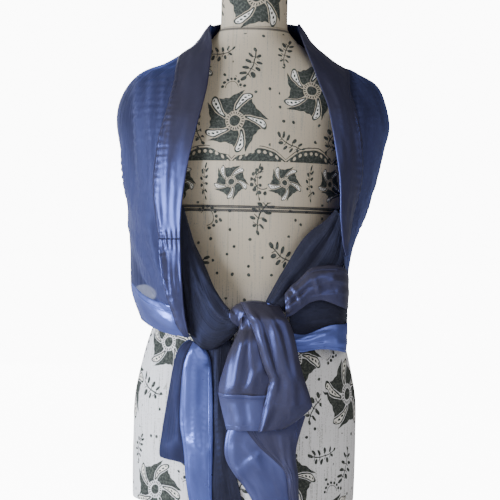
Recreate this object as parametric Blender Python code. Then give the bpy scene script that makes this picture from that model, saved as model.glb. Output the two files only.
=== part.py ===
"""Evening stole on a limbless dress form.

Lengths are metres. The origin is the centre of the form's flat underside, +Z is
up, and the form faces -Y. Left and right are those of a person who looks at it.
"""
import math

import bmesh
import bpy
import numpy as np
from mathutils import Vector
from mathutils.bvhtree import BVHTree

for item in list(bpy.data.objects):
    bpy.data.objects.remove(item, do_unlink=True)

WALL = 0.0015        # cloth thickness
LAY = 0.0005         # gap between layers that lie on each other
BAND_GAP = 0.0012    # gap between the corners of a band and the cloth under it
REST = 0.0007        # gap between the form's facets and cloth that rests on it

# Form sections: height, half width, depth in front, depth behind.
FORM = (
    (0.000, 0.1775, 0.120, 0.120),
    (0.004, 0.1790, 0.121, 0.122),
    (0.050, 0.1800, 0.122, 0.125),
    (0.100, 0.1800, 0.122, 0.128),
    (0.160, 0.1790, 0.120, 0.129),
    (0.210, 0.1700, 0.114, 0.120),
    (0.260, 0.1570, 0.106, 0.106),
    (0.310, 0.1380, 0.096, 0.092),
    (0.350, 0.1265, 0.088, 0.085),
    (0.390, 0.1290, 0.090, 0.084),
    (0.430, 0.1380, 0.100, 0.088),
    (0.470, 0.1470, 0.117, 0.093),
    (0.510, 0.1540, 0.129, 0.098),
    (0.545, 0.1610, 0.131, 0.102),
    (0.580, 0.1740, 0.122, 0.105),
    (0.610, 0.1880, 0.108, 0.105),
    (0.635, 0.1950, 0.097, 0.102),
    (0.655, 0.1950, 0.088, 0.098),
    (0.670, 0.1870, 0.081, 0.094),
    (0.682, 0.1740, 0.075, 0.089),
    (0.692, 0.1550, 0.070, 0.084),
    (0.700, 0.1370, 0.066, 0.079),
    (0.709, 0.1180, 0.062, 0.074),
    (0.720, 0.0970, 0.058, 0.069),
    (0.735, 0.0740, 0.053, 0.064),
    (0.748, 0.0610, 0.050, 0.060),
    (0.7560, 0.0560, 0.050, 0.058),
)
FORM_POWER = 2.2

NECK = (
    (0.7568, 0.0545, 0.0490, 0.0570),
    (0.7700, 0.0540, 0.0490, 0.0550),
    (0.8000, 0.0540, 0.0495, 0.0540),
    (0.8320, 0.0545, 0.0500, 0.0540),
    (0.8350, 0.0530, 0.0485, 0.0525),
)

# The cape's rings, from the neck fold down to the hem, a row per ring:
# left front edge x, y, z; left side x, z; back y, z; right side x, z;
# right front edge x, y, z.
CAPE = (
    (-0.0690, -0.020, 0.7570, -0.0695, 0.7630, 0.078, 0.7850, 0.0715, 0.7670, 0.0710, -0.020, 0.7560),
    (-0.0670, -0.055, 0.7220, -0.0880, 0.7340, 0.089, 0.7520, 0.0920, 0.7350, 0.0800, -0.048, 0.7280),
    (-0.0680, -0.072, 0.7040, -0.1190, 0.7125, 0.098, 0.7260, 0.1200, 0.7125, 0.0870, -0.064, 0.7100),
    (-0.0690, -0.085, 0.6850, -0.1434, 0.6975, 0.105, 0.6990, 0.1470, 0.6965, 0.0955, -0.080, 0.6880),
    (-0.0705, -0.095, 0.6660, -0.1755, 0.6852, 0.110, 0.6700, 0.1780, 0.6848, 0.1020, -0.091, 0.6690),
    (-0.0725, -0.104, 0.6480, -0.1980, 0.6660, 0.114, 0.6420, 0.2030, 0.6680, 0.1090, -0.102, 0.6500),
    (-0.0775, -0.115, 0.6225, -0.2140, 0.6340, 0.117, 0.6120, 0.2170, 0.6360, 0.1175, -0.115, 0.6270),
    (-0.0840, -0.125, 0.5950, -0.2170, 0.5980, 0.119, 0.5780, 0.2225, 0.5980, 0.1230, -0.124, 0.6000),
    (-0.0930, -0.134, 0.5530, -0.2070, 0.5530, 0.120, 0.5330, 0.2090, 0.5530, 0.1310, -0.133, 0.5550),
    (-0.1010, -0.137, 0.5030, -0.1990, 0.5030, 0.120, 0.4880, 0.1905, 0.5010, 0.1375, -0.137, 0.5040),
    (-0.1055, -0.137, 0.4450, -0.1945, 0.4470, 0.120, 0.4480, 0.1750, 0.4470, 0.1405, -0.136, 0.4450),
    (-0.1040, -0.135, 0.3850, -0.1915, 0.3950, 0.120, 0.4180, 0.1640, 0.3980, 0.1480, -0.118, 0.3810),
    (-0.0990, -0.133, 0.3300, -0.1900, 0.3580, 0.120, 0.4000, 0.1595, 0.3580, 0.1570, -0.048, 0.3450),
    (-0.0930, -0.130, 0.2830, -0.1870, 0.3290, 0.120, 0.3890, 0.1580, 0.3250, 0.1565, -0.041, 0.2960),
    (-0.0870, -0.126, 0.2640, -0.1710, 0.2860, 0.119, 0.3340, 0.1590, 0.2830, 0.1560, -0.041, 0.2410),
)
BORDER_RING = 12.35  # the ring where chiffon meets the lower satin border
HEM_RING = 14.0
BACK_POWER = 2.4

# Main folds of the cape, each a bend through three points of the view from the
# front (side -1) or from the back (side 1): side, x and z three times, width, height.
CAPE_FOLDS = (
    (-1, -0.2160, 0.600, -0.1950, 0.480, -0.1050, 0.300, 0.010, 0.0060),
    (-1, -0.1860, 0.660, -0.1760, 0.470, -0.1080, 0.320, 0.007, 0.0035),
    (-1, -0.1640, 0.690, -0.1560, 0.500, -0.1150, 0.380, 0.006, 0.0030),
    (-1, -0.1880, 0.440, -0.1600, 0.380, -0.1080, 0.310, 0.007, 0.0030),
    (-1, 0.1980, 0.640, 0.1900, 0.520, 0.1500, 0.410, 0.009, 0.0040),
    (1, -0.1500, 0.670, -0.1250, 0.520, -0.1350, 0.390, 0.012, 0.0045),
    (1, -0.0600, 0.680, -0.0700, 0.560, -0.0500, 0.390, 0.011, 0.0040),
    (1, 0.0250, 0.680, 0.0150, 0.560, 0.0350, 0.390, 0.012, 0.0045),
    (1, 0.0950, 0.670, 0.0850, 0.540, 0.1050, 0.390, 0.010, 0.0040),
    (1, 0.1650, 0.660, 0.1450, 0.520, 0.1400, 0.390, 0.011, 0.0045),
)

# The collar band lies on the cape. A row per station along the neck fold:
# inner side, inner ring, outer side, outer ring.
COLLAR = (
    (-1.00, 10.50, -0.909, 10.50),
    (-1.00, 10.00, -0.890, 10.00),
    (-1.00, 9.00, -0.868, 9.00),
    (-1.00, 8.00, -0.869, 8.00),
    (-1.00, 7.00, -0.883, 7.00),
    (-1.00, 6.00, -0.885, 6.00),
    (-1.00, 5.00, -0.875, 5.00),
    (-1.00, 4.00, -0.850, 4.05),
    (-1.00, 3.00, -0.790, 3.20),
    (-1.00, 2.00, -0.710, 2.50),
    (-1.00, 1.10, -0.620, 1.90),
    (-0.98, 0.45, -0.530, 1.55),
    (-0.75, 0.00, -0.450, 1.40),
    (-0.50, 0.00, -0.370, 1.45),
    (-0.38, 0.00, -0.290, 1.55),
    (-0.25, 0.00, -0.200, 1.65),
    (-0.12, 0.00, -0.100, 1.72),
    (0.00, 0.00, 0.000, 1.75),
    (0.12, 0.00, 0.100, 1.74),
    (0.25, 0.00, 0.200, 1.70),
    (0.38, 0.00, 0.290, 1.64),
    (0.50, 0.00, 0.370, 1.60),
    (0.75, 0.00, 0.450, 1.65),
    (0.98, 0.45, 0.520, 1.85),
    (1.00, 1.10, 0.580, 2.25),
    (1.00, 2.00, 0.630, 2.75),
    (1.00, 3.00, 0.690, 3.35),
    (1.00, 4.00, 0.795, 4.10),
    (1.00, 5.00, 0.860, 5.00),
    (1.00, 6.00, 0.876, 6.00),
    (1.00, 7.00, 0.878, 7.00),
    (1.00, 8.00, 0.854, 8.00),
    (1.00, 9.00, 0.832, 9.00),
    (1.00, 10.00, 0.877, 10.00),
    (1.00, 10.75, 0.955, 10.75),
)
BAND_LEFT_LOW = (
    (-1.00, 10.515, -0.905, 10.515),
    (-1.00, 11.00, -0.920, 11.00),
    (-1.00, 12.00, -0.940, 12.00),
    (-1.00, 13.00, -0.957, 13.00),
    (-1.00, 13.90, -0.975, 13.90),
)

# Hanging and swept stretches, a row per station: first edge x, y, z, second
# edge x, y, z. Each has: stations, cloth bulge, folds across (place, width,
# height, from station, to station).
STRIPS = {
    "tail_left_chiffon": ((
        (-0.0672, -0.1120, 0.2513, -0.0225, -0.1140, 0.2603),
        (-0.0650, -0.1150, 0.2286, -0.0249, -0.1160, 0.2327),
        (-0.0623, -0.1140, 0.1907, -0.0270, -0.1160, 0.1930),
        (-0.0612, -0.1130, 0.1448, -0.0244, -0.1160, 0.1503),
        (-0.0603, -0.1130, 0.1064, -0.0219, -0.1160, 0.1073),
        (-0.0594, -0.1130, 0.0680, -0.0147, -0.1160, 0.0645),
        (-0.0586, -0.1130, 0.0373, -0.0064, -0.1160, 0.0370),
        (-0.0578, -0.1130, 0.0060, 0.0006, -0.1160, 0.0060),
    ), 0.002, ((0.55, 0.14, 0.002, 0.0, 7.0),)),
    "drape_left": ((
        (-0.1130, -0.1120, 0.4558, -0.1037, -0.1040, 0.4659),
        (-0.1090, -0.1220, 0.4203, -0.0968, -0.1080, 0.4411),
        (-0.1070, -0.1220, 0.3788, -0.0858, -0.1110, 0.4088),
        (-0.1030, -0.1210, 0.3357, -0.0751, -0.1140, 0.3889),
        (-0.0970, -0.1200, 0.2957, -0.0636, -0.1180, 0.3645),
        (-0.0860, -0.1180, 0.2651, -0.0521, -0.1230, 0.3401),
        (-0.0668, -0.1240, 0.2458, -0.0408, -0.1280, 0.3221),
        (-0.0452, -0.1270, 0.2488, -0.0312, -0.1310, 0.3101),
        (-0.0256, -0.1290, 0.2640, -0.0233, -0.1330, 0.3027),
        (-0.0136, -0.1310, 0.2782, -0.0155, -0.1340, 0.2968),
    ), 0.004, ((0.80, 0.09, 0.005, 0.5, 9.0), (0.50, 0.10, 0.003, 2.0, 9.0))),
    "drape_right": ((
        (0.1340, -0.1040, 0.4654, 0.1420, -0.1080, 0.4594),
        (0.1174, -0.1060, 0.4478, 0.1430, -0.1100, 0.4253),
        (0.0959, -0.1080, 0.4317, 0.1430, -0.1060, 0.3913),
        (0.0792, -0.1110, 0.4127, 0.1360, -0.1080, 0.3693),
        (0.0657, -0.1150, 0.3891, 0.1188, -0.1190, 0.3549),
        (0.0537, -0.1190, 0.3688, 0.0942, -0.1240, 0.3421),
        (0.0433, -0.1240, 0.3501, 0.0760, -0.1280, 0.3279),
        (0.0343, -0.1290, 0.3331, 0.0623, -0.1310, 0.3170),
        (0.0285, -0.1310, 0.3207, 0.0502, -0.1330, 0.3091),
    ), 0.004, ((0.28, 0.10, 0.004, 0.5, 8.0), (0.65, 0.10, 0.003, 1.0, 8.0))),
    "gather_chiffon": ((
        (0.1569, -0.0460, 0.3112, 0.1565, -0.0425, 0.2968),
        (0.1555, -0.0800, 0.3104, 0.1550, -0.0800, 0.2925),
        (0.1478, -0.1040, 0.3120, 0.1475, -0.1040, 0.2890),
        (0.1336, -0.1150, 0.3289, 0.1332, -0.1150, 0.2793),
        (0.1099, -0.1230, 0.3347, 0.1099, -0.1230, 0.2699),
        (0.0898, -0.1280, 0.3297, 0.0914, -0.1280, 0.2636),
        (0.0761, -0.1310, 0.3203, 0.0774, -0.1310, 0.2635),
        (0.0639, -0.1330, 0.3124, 0.0666, -0.1330, 0.2664),
    ), 0.000, ((0.50, 0.20, 0.002, 3.0, 7.0),)),
    "gather_band": ((
        (0.1582, -0.0540, 0.3425, 0.1578, -0.0480, 0.3120),
        (0.1571, -0.0850, 0.3590, 0.1568, -0.0850, 0.3112),
        (0.1500, -0.1120, 0.3740, 0.1508, -0.1120, 0.3125),
        (0.1351, -0.1235, 0.3792, 0.1365, -0.1235, 0.3184),
        (0.1132, -0.1300, 0.3780, 0.1144, -0.1300, 0.3258),
        (0.0947, -0.1350, 0.3730, 0.0944, -0.1350, 0.3209),
        (0.0796, -0.1380, 0.3574, 0.0807, -0.1380, 0.3115),
        (0.0661, -0.1400, 0.3449, 0.0686, -0.1400, 0.3021),
        (0.0571, -0.1410, 0.3340, 0.0595, -0.1410, 0.2988),
    ), 0.003, ((0.30, 0.12, 0.004, 3.0, 8.0), (0.70, 0.10, 0.003, 4.0, 8.0))),
    "gather_border": ((
        (0.1567, -0.0418, 0.2955, 0.1560, -0.0418, 0.2415),
        (0.1558, -0.0850, 0.2918, 0.1548, -0.0850, 0.2425),
        (0.1490, -0.1120, 0.2885, 0.1490, -0.1120, 0.2455),
        (0.1342, -0.1210, 0.2880, 0.1352, -0.1210, 0.2488),
        (0.1156, -0.1280, 0.2827, 0.1163, -0.1280, 0.2504),
        (0.0986, -0.1330, 0.2748, 0.0992, -0.1330, 0.2488),
        (0.0832, -0.1360, 0.2716, 0.0838, -0.1360, 0.2455),
        (0.0678, -0.1380, 0.2744, 0.0700, -0.1380, 0.2469),
    ), 0.002, ((0.35, 0.12, 0.003, 3.0, 7.0),)),
    "tail_left_flap": ((
        (-0.0888, -0.1150, 0.2590, -0.0764, -0.1160, 0.2540),
        (-0.1008, -0.1180, 0.2496, -0.0776, -0.1180, 0.2430),
        (-0.1096, -0.1170, 0.2325, -0.0801, -0.1190, 0.2256),
        (-0.1157, -0.1080, 0.1969, -0.0823, -0.1150, 0.1902),
        (-0.1231, -0.1000, 0.1504, -0.0829, -0.1110, 0.1486),
        (-0.1285, -0.0980, 0.1116, -0.0835, -0.1110, 0.1086),
        (-0.1317, -0.0980, 0.0821, -0.0827, -0.1110, 0.0732),
        (-0.1292, -0.0980, 0.0745, -0.0825, -0.1110, 0.0670),
    ), 0.002, ((0.45, 0.12, 0.002, 0.0, 6.0),)),
    "tail_left_band": ((
        (-0.0824, -0.1200, 0.2563, -0.0652, -0.1200, 0.2444),
        (-0.0910, -0.1220, 0.2380, -0.0555, -0.1190, 0.2296),
        (-0.0972, -0.1220, 0.2135, -0.0517, -0.1170, 0.2023),
        (-0.0999, -0.1200, 0.1676, -0.0492, -0.1150, 0.1657),
        (-0.0997, -0.1190, 0.1293, -0.0484, -0.1150, 0.1305),
        (-0.0935, -0.1190, 0.0911, -0.0475, -0.1150, 0.0922),
        (-0.0893, -0.1190, 0.0452, -0.0479, -0.1150, 0.0462),
        (-0.0822, -0.1190, 0.0060, -0.0470, -0.1150, 0.0060),
    ), 0.003, ((0.30, 0.10, 0.002, 0.0, 5.0),)),
    "tail_right": ((
        (-0.0193, -0.1300, 0.1329, 0.0847, -0.1300, 0.1430),
        (-0.0274, -0.1300, 0.1191, 0.0851, -0.1290, 0.1233),
        (-0.0305, -0.1280, 0.0899, 0.0803, -0.1250, 0.0986),
        (-0.0247, -0.1260, 0.0700, 0.0777, -0.1220, 0.0801),
        (-0.0128, -0.1240, 0.0519, 0.0790, -0.1190, 0.0571),
        (-0.0017, -0.1230, 0.0384, 0.0825, -0.1180, 0.0388),
        (0.0126, -0.1230, 0.0173, 0.0856, -0.1180, 0.0190),
        (0.0174, -0.1230, 0.0060, 0.0871, -0.1180, 0.0060),
    ), 0.003, ((0.35, 0.10, 0.003, 1.0, 7.0),)),
    "tail_right_band": ((
        (-0.0008, -0.1360, 0.1280, 0.0935, -0.1330, 0.1485),
        (0.0087, -0.1350, 0.1144, 0.0850, -0.1320, 0.1208),
        (0.0244, -0.1320, 0.0965, 0.0794, -0.1290, 0.0993),
        (0.0432, -0.1290, 0.0801, 0.0783, -0.1260, 0.0809),
        (0.0650, -0.1260, 0.0592, 0.0803, -0.1240, 0.0581),
        (0.0701, -0.1250, 0.0380, 0.0831, -0.1240, 0.0383),
        (0.0723, -0.1250, 0.0060, 0.0876, -0.1240, 0.0060),
    ), 0.002, ((0.75, 0.08, 0.003, 0.0, 5.0),)),
    "loop": ((
        (-0.0108, -0.1380, 0.2961, 0.0072, -0.1380, 0.3072),
        (-0.0119, -0.1450, 0.2779, 0.0229, -0.1450, 0.2863),
        (-0.0190, -0.1530, 0.2595, 0.0311, -0.1530, 0.2637),
        (-0.0270, -0.1540, 0.2411, 0.0377, -0.1540, 0.2396),
        (-0.0347, -0.1540, 0.2151, 0.0459, -0.1540, 0.2170),
        (-0.0403, -0.1540, 0.1936, 0.0494, -0.1540, 0.1942),
        (-0.0407, -0.1530, 0.1797, 0.0514, -0.1530, 0.1781),
        (-0.0364, -0.1530, 0.1586, 0.0518, -0.1530, 0.1577),
        (-0.0315, -0.1520, 0.1404, 0.0507, -0.1520, 0.1408),
        (-0.0273, -0.1510, 0.1244, 0.0481, -0.1510, 0.1262),
    ), 0.004, ((0.30, 0.12, 0.004, 1.0, 9.0), (0.65, 0.12, 0.003, 0.0, 9.0))),
    "loop_fold": ((
        (-0.0113, -0.1440, 0.3191, 0.0481, -0.1440, 0.3145),
        (-0.0018, -0.1590, 0.3028, 0.0590, -0.1560, 0.2996),
        (0.0077, -0.1610, 0.2879, 0.0669, -0.1570, 0.2847),
        (0.0158, -0.1610, 0.2654, 0.0727, -0.1570, 0.2666),
        (0.0240, -0.1610, 0.2398, 0.0778, -0.1570, 0.2439),
        (0.0321, -0.1610, 0.2172, 0.0844, -0.1570, 0.2191),
        (0.0370, -0.1610, 0.2022, 0.0918, -0.1570, 0.1971),
        (0.0315, -0.1600, 0.1792, 0.1000, -0.1560, 0.1744),
        (0.0260, -0.1590, 0.1547, 0.0974, -0.1550, 0.1576),
        (0.0206, -0.1570, 0.1241, 0.0616, -0.1540, 0.1308),
    ), 0.004, ((0.10, 0.08, 0.004, 0.5, 7.0), (0.55, 0.12, 0.003, 1.0, 8.0))),
}

KNOT = {"x": 0.0115, "z": 0.3005, "half_width": 0.039, "half_height": 0.0225, "depth": 0.014}
KNOT_FOLDS = ((-0.45, 0.16, 0.0025), (0.05, 0.14, 0.0030), (0.55, 0.16, 0.0025))


def at_row(rows, place):
    """Smooth value between the rows of a table, at a place counted in rows."""
    table = np.asarray(rows, dtype=float)
    last = len(table) - 1
    place = min(max(place, 0.0), float(last))
    low = min(int(math.floor(place)), last - 1)
    part = place - low
    before, one, two, after = (table[max(low - 1, 0)], table[low],
                               table[low + 1], table[min(low + 2, last)])
    return 0.5 * (2 * one + (two - before) * part
                  + (2 * before - 5 * one + 4 * two - after) * part ** 2
                  + (3 * one - before - 3 * two + after) * part ** 3)


def form_point(angle, row):
    """Point of a form section. The angle starts at the front and goes to the right."""
    height, half, front, back = row
    across, along = math.sin(angle), -math.cos(angle)
    depth = front if along < 0 else back
    reach = (abs(across) ** FORM_POWER + abs(along) ** FORM_POWER) ** (-1.0 / FORM_POWER)
    return (half * reach * across, depth * reach * along, height)


def fold_lift(x, z, side, folds):
    """Height of the ridges at a point of the front or back view."""
    total = 0.0
    for fold_side, x0, z0, x1, z1, x2, z2, width, height in folds:
        if fold_side != side:
            continue
        best, best_part = 1.0, 0.0
        for step in range(13):
            part = step / 12
            px = (1 - part) ** 2 * x0 + 2 * part * (1 - part) * x1 + part ** 2 * x2
            pz = (1 - part) ** 2 * z0 + 2 * part * (1 - part) * z1 + part ** 2 * z2
            away = math.hypot(x - px, z - pz)
            if away < best:
                best, best_part = away, part
        ends = min(1.0, 4 * best_part + 0.15, 4 * (1 - best_part) + 0.15)
        total += height * ends * math.exp(-(best / width) ** 2)
    return total


def cape_base(side, ring):
    """Point of the cape without folds. Side -1 is the left front edge, 0 the back."""
    (lx, ly, lz, lsx, lsz, by, bz, rsx, rsz, rx, ry, rz) = at_row(CAPE, ring)
    edge_x, edge_y, edge_z = (lx, ly, lz) if side < 0 else (rx, ry, rz)
    half, side_z = (lsx, lsz) if side < 0 else (rsx, rsz)
    if abs(side) >= 0.5:
        part = (abs(side) - 0.5) / 0.5
        limit = math.acos(min(0.9985, abs(edge_x / half)))
        turn = part * limit
        blend = 0.5 - 0.5 * math.cos(math.pi * part)
        return Vector((half * math.cos(turn), edge_y * math.sin(turn) / math.sin(limit),
                       side_z + (edge_z - side_z) * blend))
    turn = (0.5 - abs(side)) * math.pi
    reach = (math.cos(turn) ** BACK_POWER + math.sin(turn) ** BACK_POWER) ** (-1.0 / BACK_POWER)
    blend = 0.5 - 0.5 * math.cos(2 * turn)
    return Vector((half * reach * math.cos(turn), by * reach * math.sin(turn),
                   side_z + (bz - side_z) * blend))


def cape_normal(side, ring):
    """Outward direction of the cape."""
    near, far = max(side - 0.01, -1.0), min(side + 0.01, 1.0)
    over, under = max(ring - 0.1, 0.0), min(ring + 0.1, HEM_RING)
    along = cape_base(far, ring) - cape_base(near, ring)
    down = cape_base(side, under) - cape_base(side, over)
    return along.cross(down).normalized()


def cape_point(side, ring, out=0.0):
    """Point of the cape with its folds, moved out by a length."""
    base = cape_base(side, ring)
    normal = cape_normal(side, ring)
    view = -1 if base.y < 0 else 1
    fade = min(1.0, abs(base.y) / 0.03)
    lift = fold_lift(base.x, base.z, view, CAPE_FOLDS) * fade
    return base + normal * (lift + out)


def tree_of(solid):
    """Search tree of a finished piece."""
    mesh = solid.data
    mesh.calc_loop_triangles()
    points = [vertex.co.copy() for vertex in mesh.vertices]
    return BVHTree.FromPolygons(points, [tuple(tri.vertices) for tri in mesh.loop_triangles])


def finish(name, mesh_data, material):
    """Object from a bmesh, with outward faces."""
    bmesh.ops.recalc_face_normals(mesh_data, faces=mesh_data.faces)
    if mesh_data.calc_volume(signed=True) < 0:
        bmesh.ops.reverse_faces(mesh_data, faces=mesh_data.faces)
    mesh = bpy.data.meshes.new(name)
    mesh_data.to_mesh(mesh)
    mesh_data.free()
    solid = bpy.data.objects.new(name, mesh)
    bpy.context.scene.collection.objects.link(solid)
    mesh.materials.append(materials[material])
    return solid


def wall(name, outer, inner, material):
    """Closed solid between two grids of points of the same size."""
    built = bmesh.new()
    rows, columns = len(outer), len(outer[0])
    front = [[built.verts.new(point) for point in line] for line in outer]
    back = [[built.verts.new(point) for point in line] for line in inner]
    for i in range(rows - 1):
        for j in range(columns - 1):
            built.faces.new((front[i][j], front[i][j + 1], front[i + 1][j + 1], front[i + 1][j]))
            built.faces.new((back[i][j], back[i + 1][j], back[i + 1][j + 1], back[i][j + 1]))
    for i in range(rows - 1):
        for j, turn in ((0, 1), (columns - 1, -1)):
            ring = (front[i][j], front[i + 1][j], back[i + 1][j], back[i][j])
            built.faces.new(ring[::turn])
    for j in range(columns - 1):
        for i, turn in ((0, -1), (rows - 1, 1)):
            ring = (front[i][j], front[i][j + 1], back[i][j + 1], back[i][j])
            built.faces.new(ring[::turn])
    return finish(name, built, material)


def turned(name, rows, sides, material):
    """Closed solid through form sections."""
    built = bmesh.new()
    rings = [[built.verts.new(form_point(2 * math.pi * k / sides, row)) for k in range(sides)]
             for row in rows]
    for low, high in zip(rings, rings[1:]):
        for k in range(sides):
            after = (k + 1) % sides
            built.faces.new((low[k], low[after], high[after], high[k]))
    for ring in (rings[0], rings[-1]):
        centre = built.verts.new(sum((v.co for v in ring), Vector()) / sides)
        centre.co.x = 0.0
        centre.co.y = 0.0
        for k in range(sides):
            built.faces.new((ring[k], ring[(k + 1) % sides], centre))
    return finish(name, built, material)


def spread(first, last, count):
    return [first + (last - first) * k / (count - 1) for k in range(count)]


def clear_of_form(point, gap):
    """The point, moved off the form where it is nearer than the gap."""
    spot, away, _, _ = form_tree.find_nearest(point)
    return point + away * max(0.0, gap - (point - spot).dot(away))


def cape_piece(name, first_ring, last_ring, rings, sides, material):
    """Solid between two rings of the cape, pushed clear of the form."""
    inner, outer = [], []
    for ring in spread(first_ring, last_ring, rings):
        inside, outside = [], []
        for side in spread(-1.0, 1.0, sides):
            point = cape_point(side, ring)
            normal = cape_normal(side, ring)
            point = clear_of_form(point, REST)
            inside.append(point)
            outside.append(point + normal * WALL)
        inner.append(inside)
        outer.append(outside)
    return wall(name, outer, inner, material)


def band_piece(name, rows, stations, across, under, material):
    """Satin band that lies on the cape, made from the cape's points."""
    inner, outer = [], []
    for place in spread(0.0, len(rows) - 1.0, stations):
        side0, ring0, side1, ring1 = at_row(rows, place)
        inside, outside = [], []
        for part in spread(0.0, 1.0, across):
            side = min(max(side0 + (side1 - side0) * part, -1.0), 1.0)
            ring = max(ring0 + (ring1 - ring0) * part, 0.0)
            soft = 0.0020 * math.sin(math.pi * part)
            normal = cape_normal(side, ring)
            point = cape_point(side, ring, WALL + 0.0010 + soft)
            point = clear_of_form(point, REST + WALL + BAND_GAP)
            for tree in under:
                spot, _, _, _ = tree.ray_cast(point + normal * 0.015, -normal, 0.03)
                if spot is not None:
                    clear = (point - spot).dot(normal)
                    point = point + normal * max(0.0, BAND_GAP + soft - clear)
            inside.append(point)
            outside.append(point + normal * WALL)
        inner.append(inside)
        outer.append(outside)
    return wall(name, outer, inner, material)


def ahead_of(x, z, trees, reach):
    """The most forward depth of the given pieces near a point of the front view."""
    depth = 1.0
    for dx, dz in ((0, 0), (1, 0), (-1, 0), (0, 1), (0, -1), (0.7, 0.7), (-0.7, 0.7),
                   (0.7, -0.7), (-0.7, -0.7)):
        for tree in trees:
            start = Vector((x + dx * reach, -0.5, z + dz * reach))
            spot, _, _, _ = tree.ray_cast(start, Vector((0, 1, 0)))
            if spot is not None:
                depth = min(depth, spot.y)
    return depth


def strip_piece(name, stations, across, trees, material, table=None, span=None, free=-1.0,
                gap=LAY):
    """Stretch of cloth between two edges, laid in front of the given pieces.

    Stations up to the place "free" go round the side, and stay as tabled."""
    rows, bulge, folds = STRIPS[table or name]
    first, last = span or (0.0, len(rows) - 1.0)
    places = spread(first, last, stations)
    points = []
    for place in places:
        ax, ay, az, bx, by, bz = at_row(rows, place)
        line = []
        for part in spread(0.0, 1.0, across):
            lift = bulge * math.sin(math.pi * part)
            for middle, width, height, start, stop in folds:
                reach = min(1.0, max(0.0, (place - start) / 1.0 + 0.3), max(0.0, (stop - place) + 0.3))
                lift += height * reach * math.exp(-((part - middle) / width) ** 2)
            x, z = ax + (bx - ax) * part, az + (bz - az) * part
            y = ay + (by - ay) * part - lift
            line.append([x, y, z])
        points.append(line)
    back = np.array(points)
    if trees:
        for place, line in zip(places, back):
            for point in line if place > free else ():
                point[1] = min(point[1], ahead_of(point[0], point[2], trees, 0.0022) - gap)
    down = np.gradient(back, axis=0)
    side = np.gradient(back, axis=1)
    normal = np.cross(down, side)
    normal /= np.linalg.norm(normal, axis=2)[:, :, None]
    if normal[:, :, 1].mean() > 0:
        normal = -normal
    front = back + normal * WALL
    return wall(name, front.tolist(), back.tolist(), material)


def knot_piece(trees):
    """The knot as a folded pad, laid in front of the given pieces."""
    front, back = [], []
    for u in spread(-1.0, 1.0, 13):
        ahead, behind = [], []
        for v in spread(-1.0, 1.0, 9):
            px, pz = u * math.sqrt(1 - v * v / 2), v * math.sqrt(1 - u * u / 2)
            x = KNOT["x"] + px * KNOT["half_width"]
            z = KNOT["z"] + pz * KNOT["half_height"]
            dome = max(0.0, 1 - px * px - pz * pz) ** 0.5
            lift = WALL + dome * KNOT["depth"]
            for middle, width, height in KNOT_FOLDS:
                lift += height * dome * math.exp(-((px - middle - 0.25 * pz) / width) ** 2)
            depth = min(-0.1260, ahead_of(x, z, trees, 0.005) - 1.5 * LAY)
            behind.append((x, depth, z))
            ahead.append((x, min(depth - WALL, -0.1300 - lift), z))
        front.append(ahead)
        back.append(behind)
    return wall("knot", front, back, "satin")


materials = {}
for label, colour in (("satin", (0.05, 0.10, 0.32, 1)), ("chiffon", (0.02, 0.035, 0.11, 1)),
                      ("form_cover", (0.72, 0.66, 0.58, 1)), ("form_cord", (0.12, 0.13, 0.13, 1))):
    made = bpy.data.materials.new(label)
    made.diffuse_color = colour
    materials[label] = made

# The form.
torso = turned("form_torso", FORM, 44, "form_cover")
neck = turned("form_neck", NECK, 36, "form_cover")
form_tree = tree_of(torso)
trim_rows = [at_row(FORM, 10.0 + k) for k in (0.72, 0.95)]
trim_inner = [[Vector(form_point(2 * math.pi * k / 44, (row[0], row[1] + 0.0006, row[2] + 0.0006,
                                                        row[3] + 0.0006))) for k in range(44)]
              for row in trim_rows]
trim = bmesh.new()
trim_rings = []
for line, out in ((trim_inner[0], 0), (trim_inner[1], 0), (trim_inner[1], 1), (trim_inner[0], 1)):
    trim_rings.append([trim.verts.new(p + Vector((p.x, p.y, 0)).normalized() * 0.0015 * out)
                       for p in line])
for low, high in zip(trim_rings, trim_rings[1:] + trim_rings[:1]):
    for k in range(44):
        trim.faces.new((low[k], low[(k + 1) % 44], high[(k + 1) % 44], high[k]))
trim_piece = finish("form_trim", trim, "form_cord")

# What lies nearest to the form.
form_trees = [form_tree, tree_of(trim_piece)]
tail_back = strip_piece("tail_left_chiffon", 12, 6, form_trees, "chiffon")
drape_left = strip_piece("drape_left", 15, 8, form_trees + [tree_of(tail_back)], "chiffon")
drape_right = strip_piece("drape_right", 14, 8, form_trees, "chiffon")

# The stretch over the shoulders, and the band turned out on it.
cape = cape_piece("cape_chiffon", 0.0, BORDER_RING - 0.003, 18, 53, "chiffon")
border = cape_piece("cape_border", BORDER_RING + 0.003, HEM_RING, 5, 53, "satin")
cape_trees = [tree_of(cape), tree_of(border)]
collar = band_piece("collar_band", COLLAR, 69, 5, cape_trees, "satin")
band_low = band_piece("band_left_low", BAND_LEFT_LOW, 12, 4, cape_trees, "satin")
over = [tree_of(piece) for piece in (cape, border, collar, band_low)]

# The right gather, from its chiffon out to its two borders.
gather_chiffon = strip_piece("gather_chiffon", 13, 5, form_trees + [tree_of(drape_right)], "chiffon",
                             free=2.1)
behind_gather = [tree_of(drape_right), tree_of(gather_chiffon)]
gather_band = strip_piece("gather_band", 15, 7, behind_gather, "satin", free=2.1)
gather_border = strip_piece("gather_border", 12, 6, behind_gather, "satin", free=2.1)

# The left tail.
flap = strip_piece("tail_left_flap", 12, 6, form_trees + over, "chiffon")
low_layers = form_trees + over + [tree_of(flap), tree_of(tail_back), tree_of(drape_left)]
tail_band = strip_piece("tail_left_band", 13, 6, low_layers, "satin")

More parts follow.
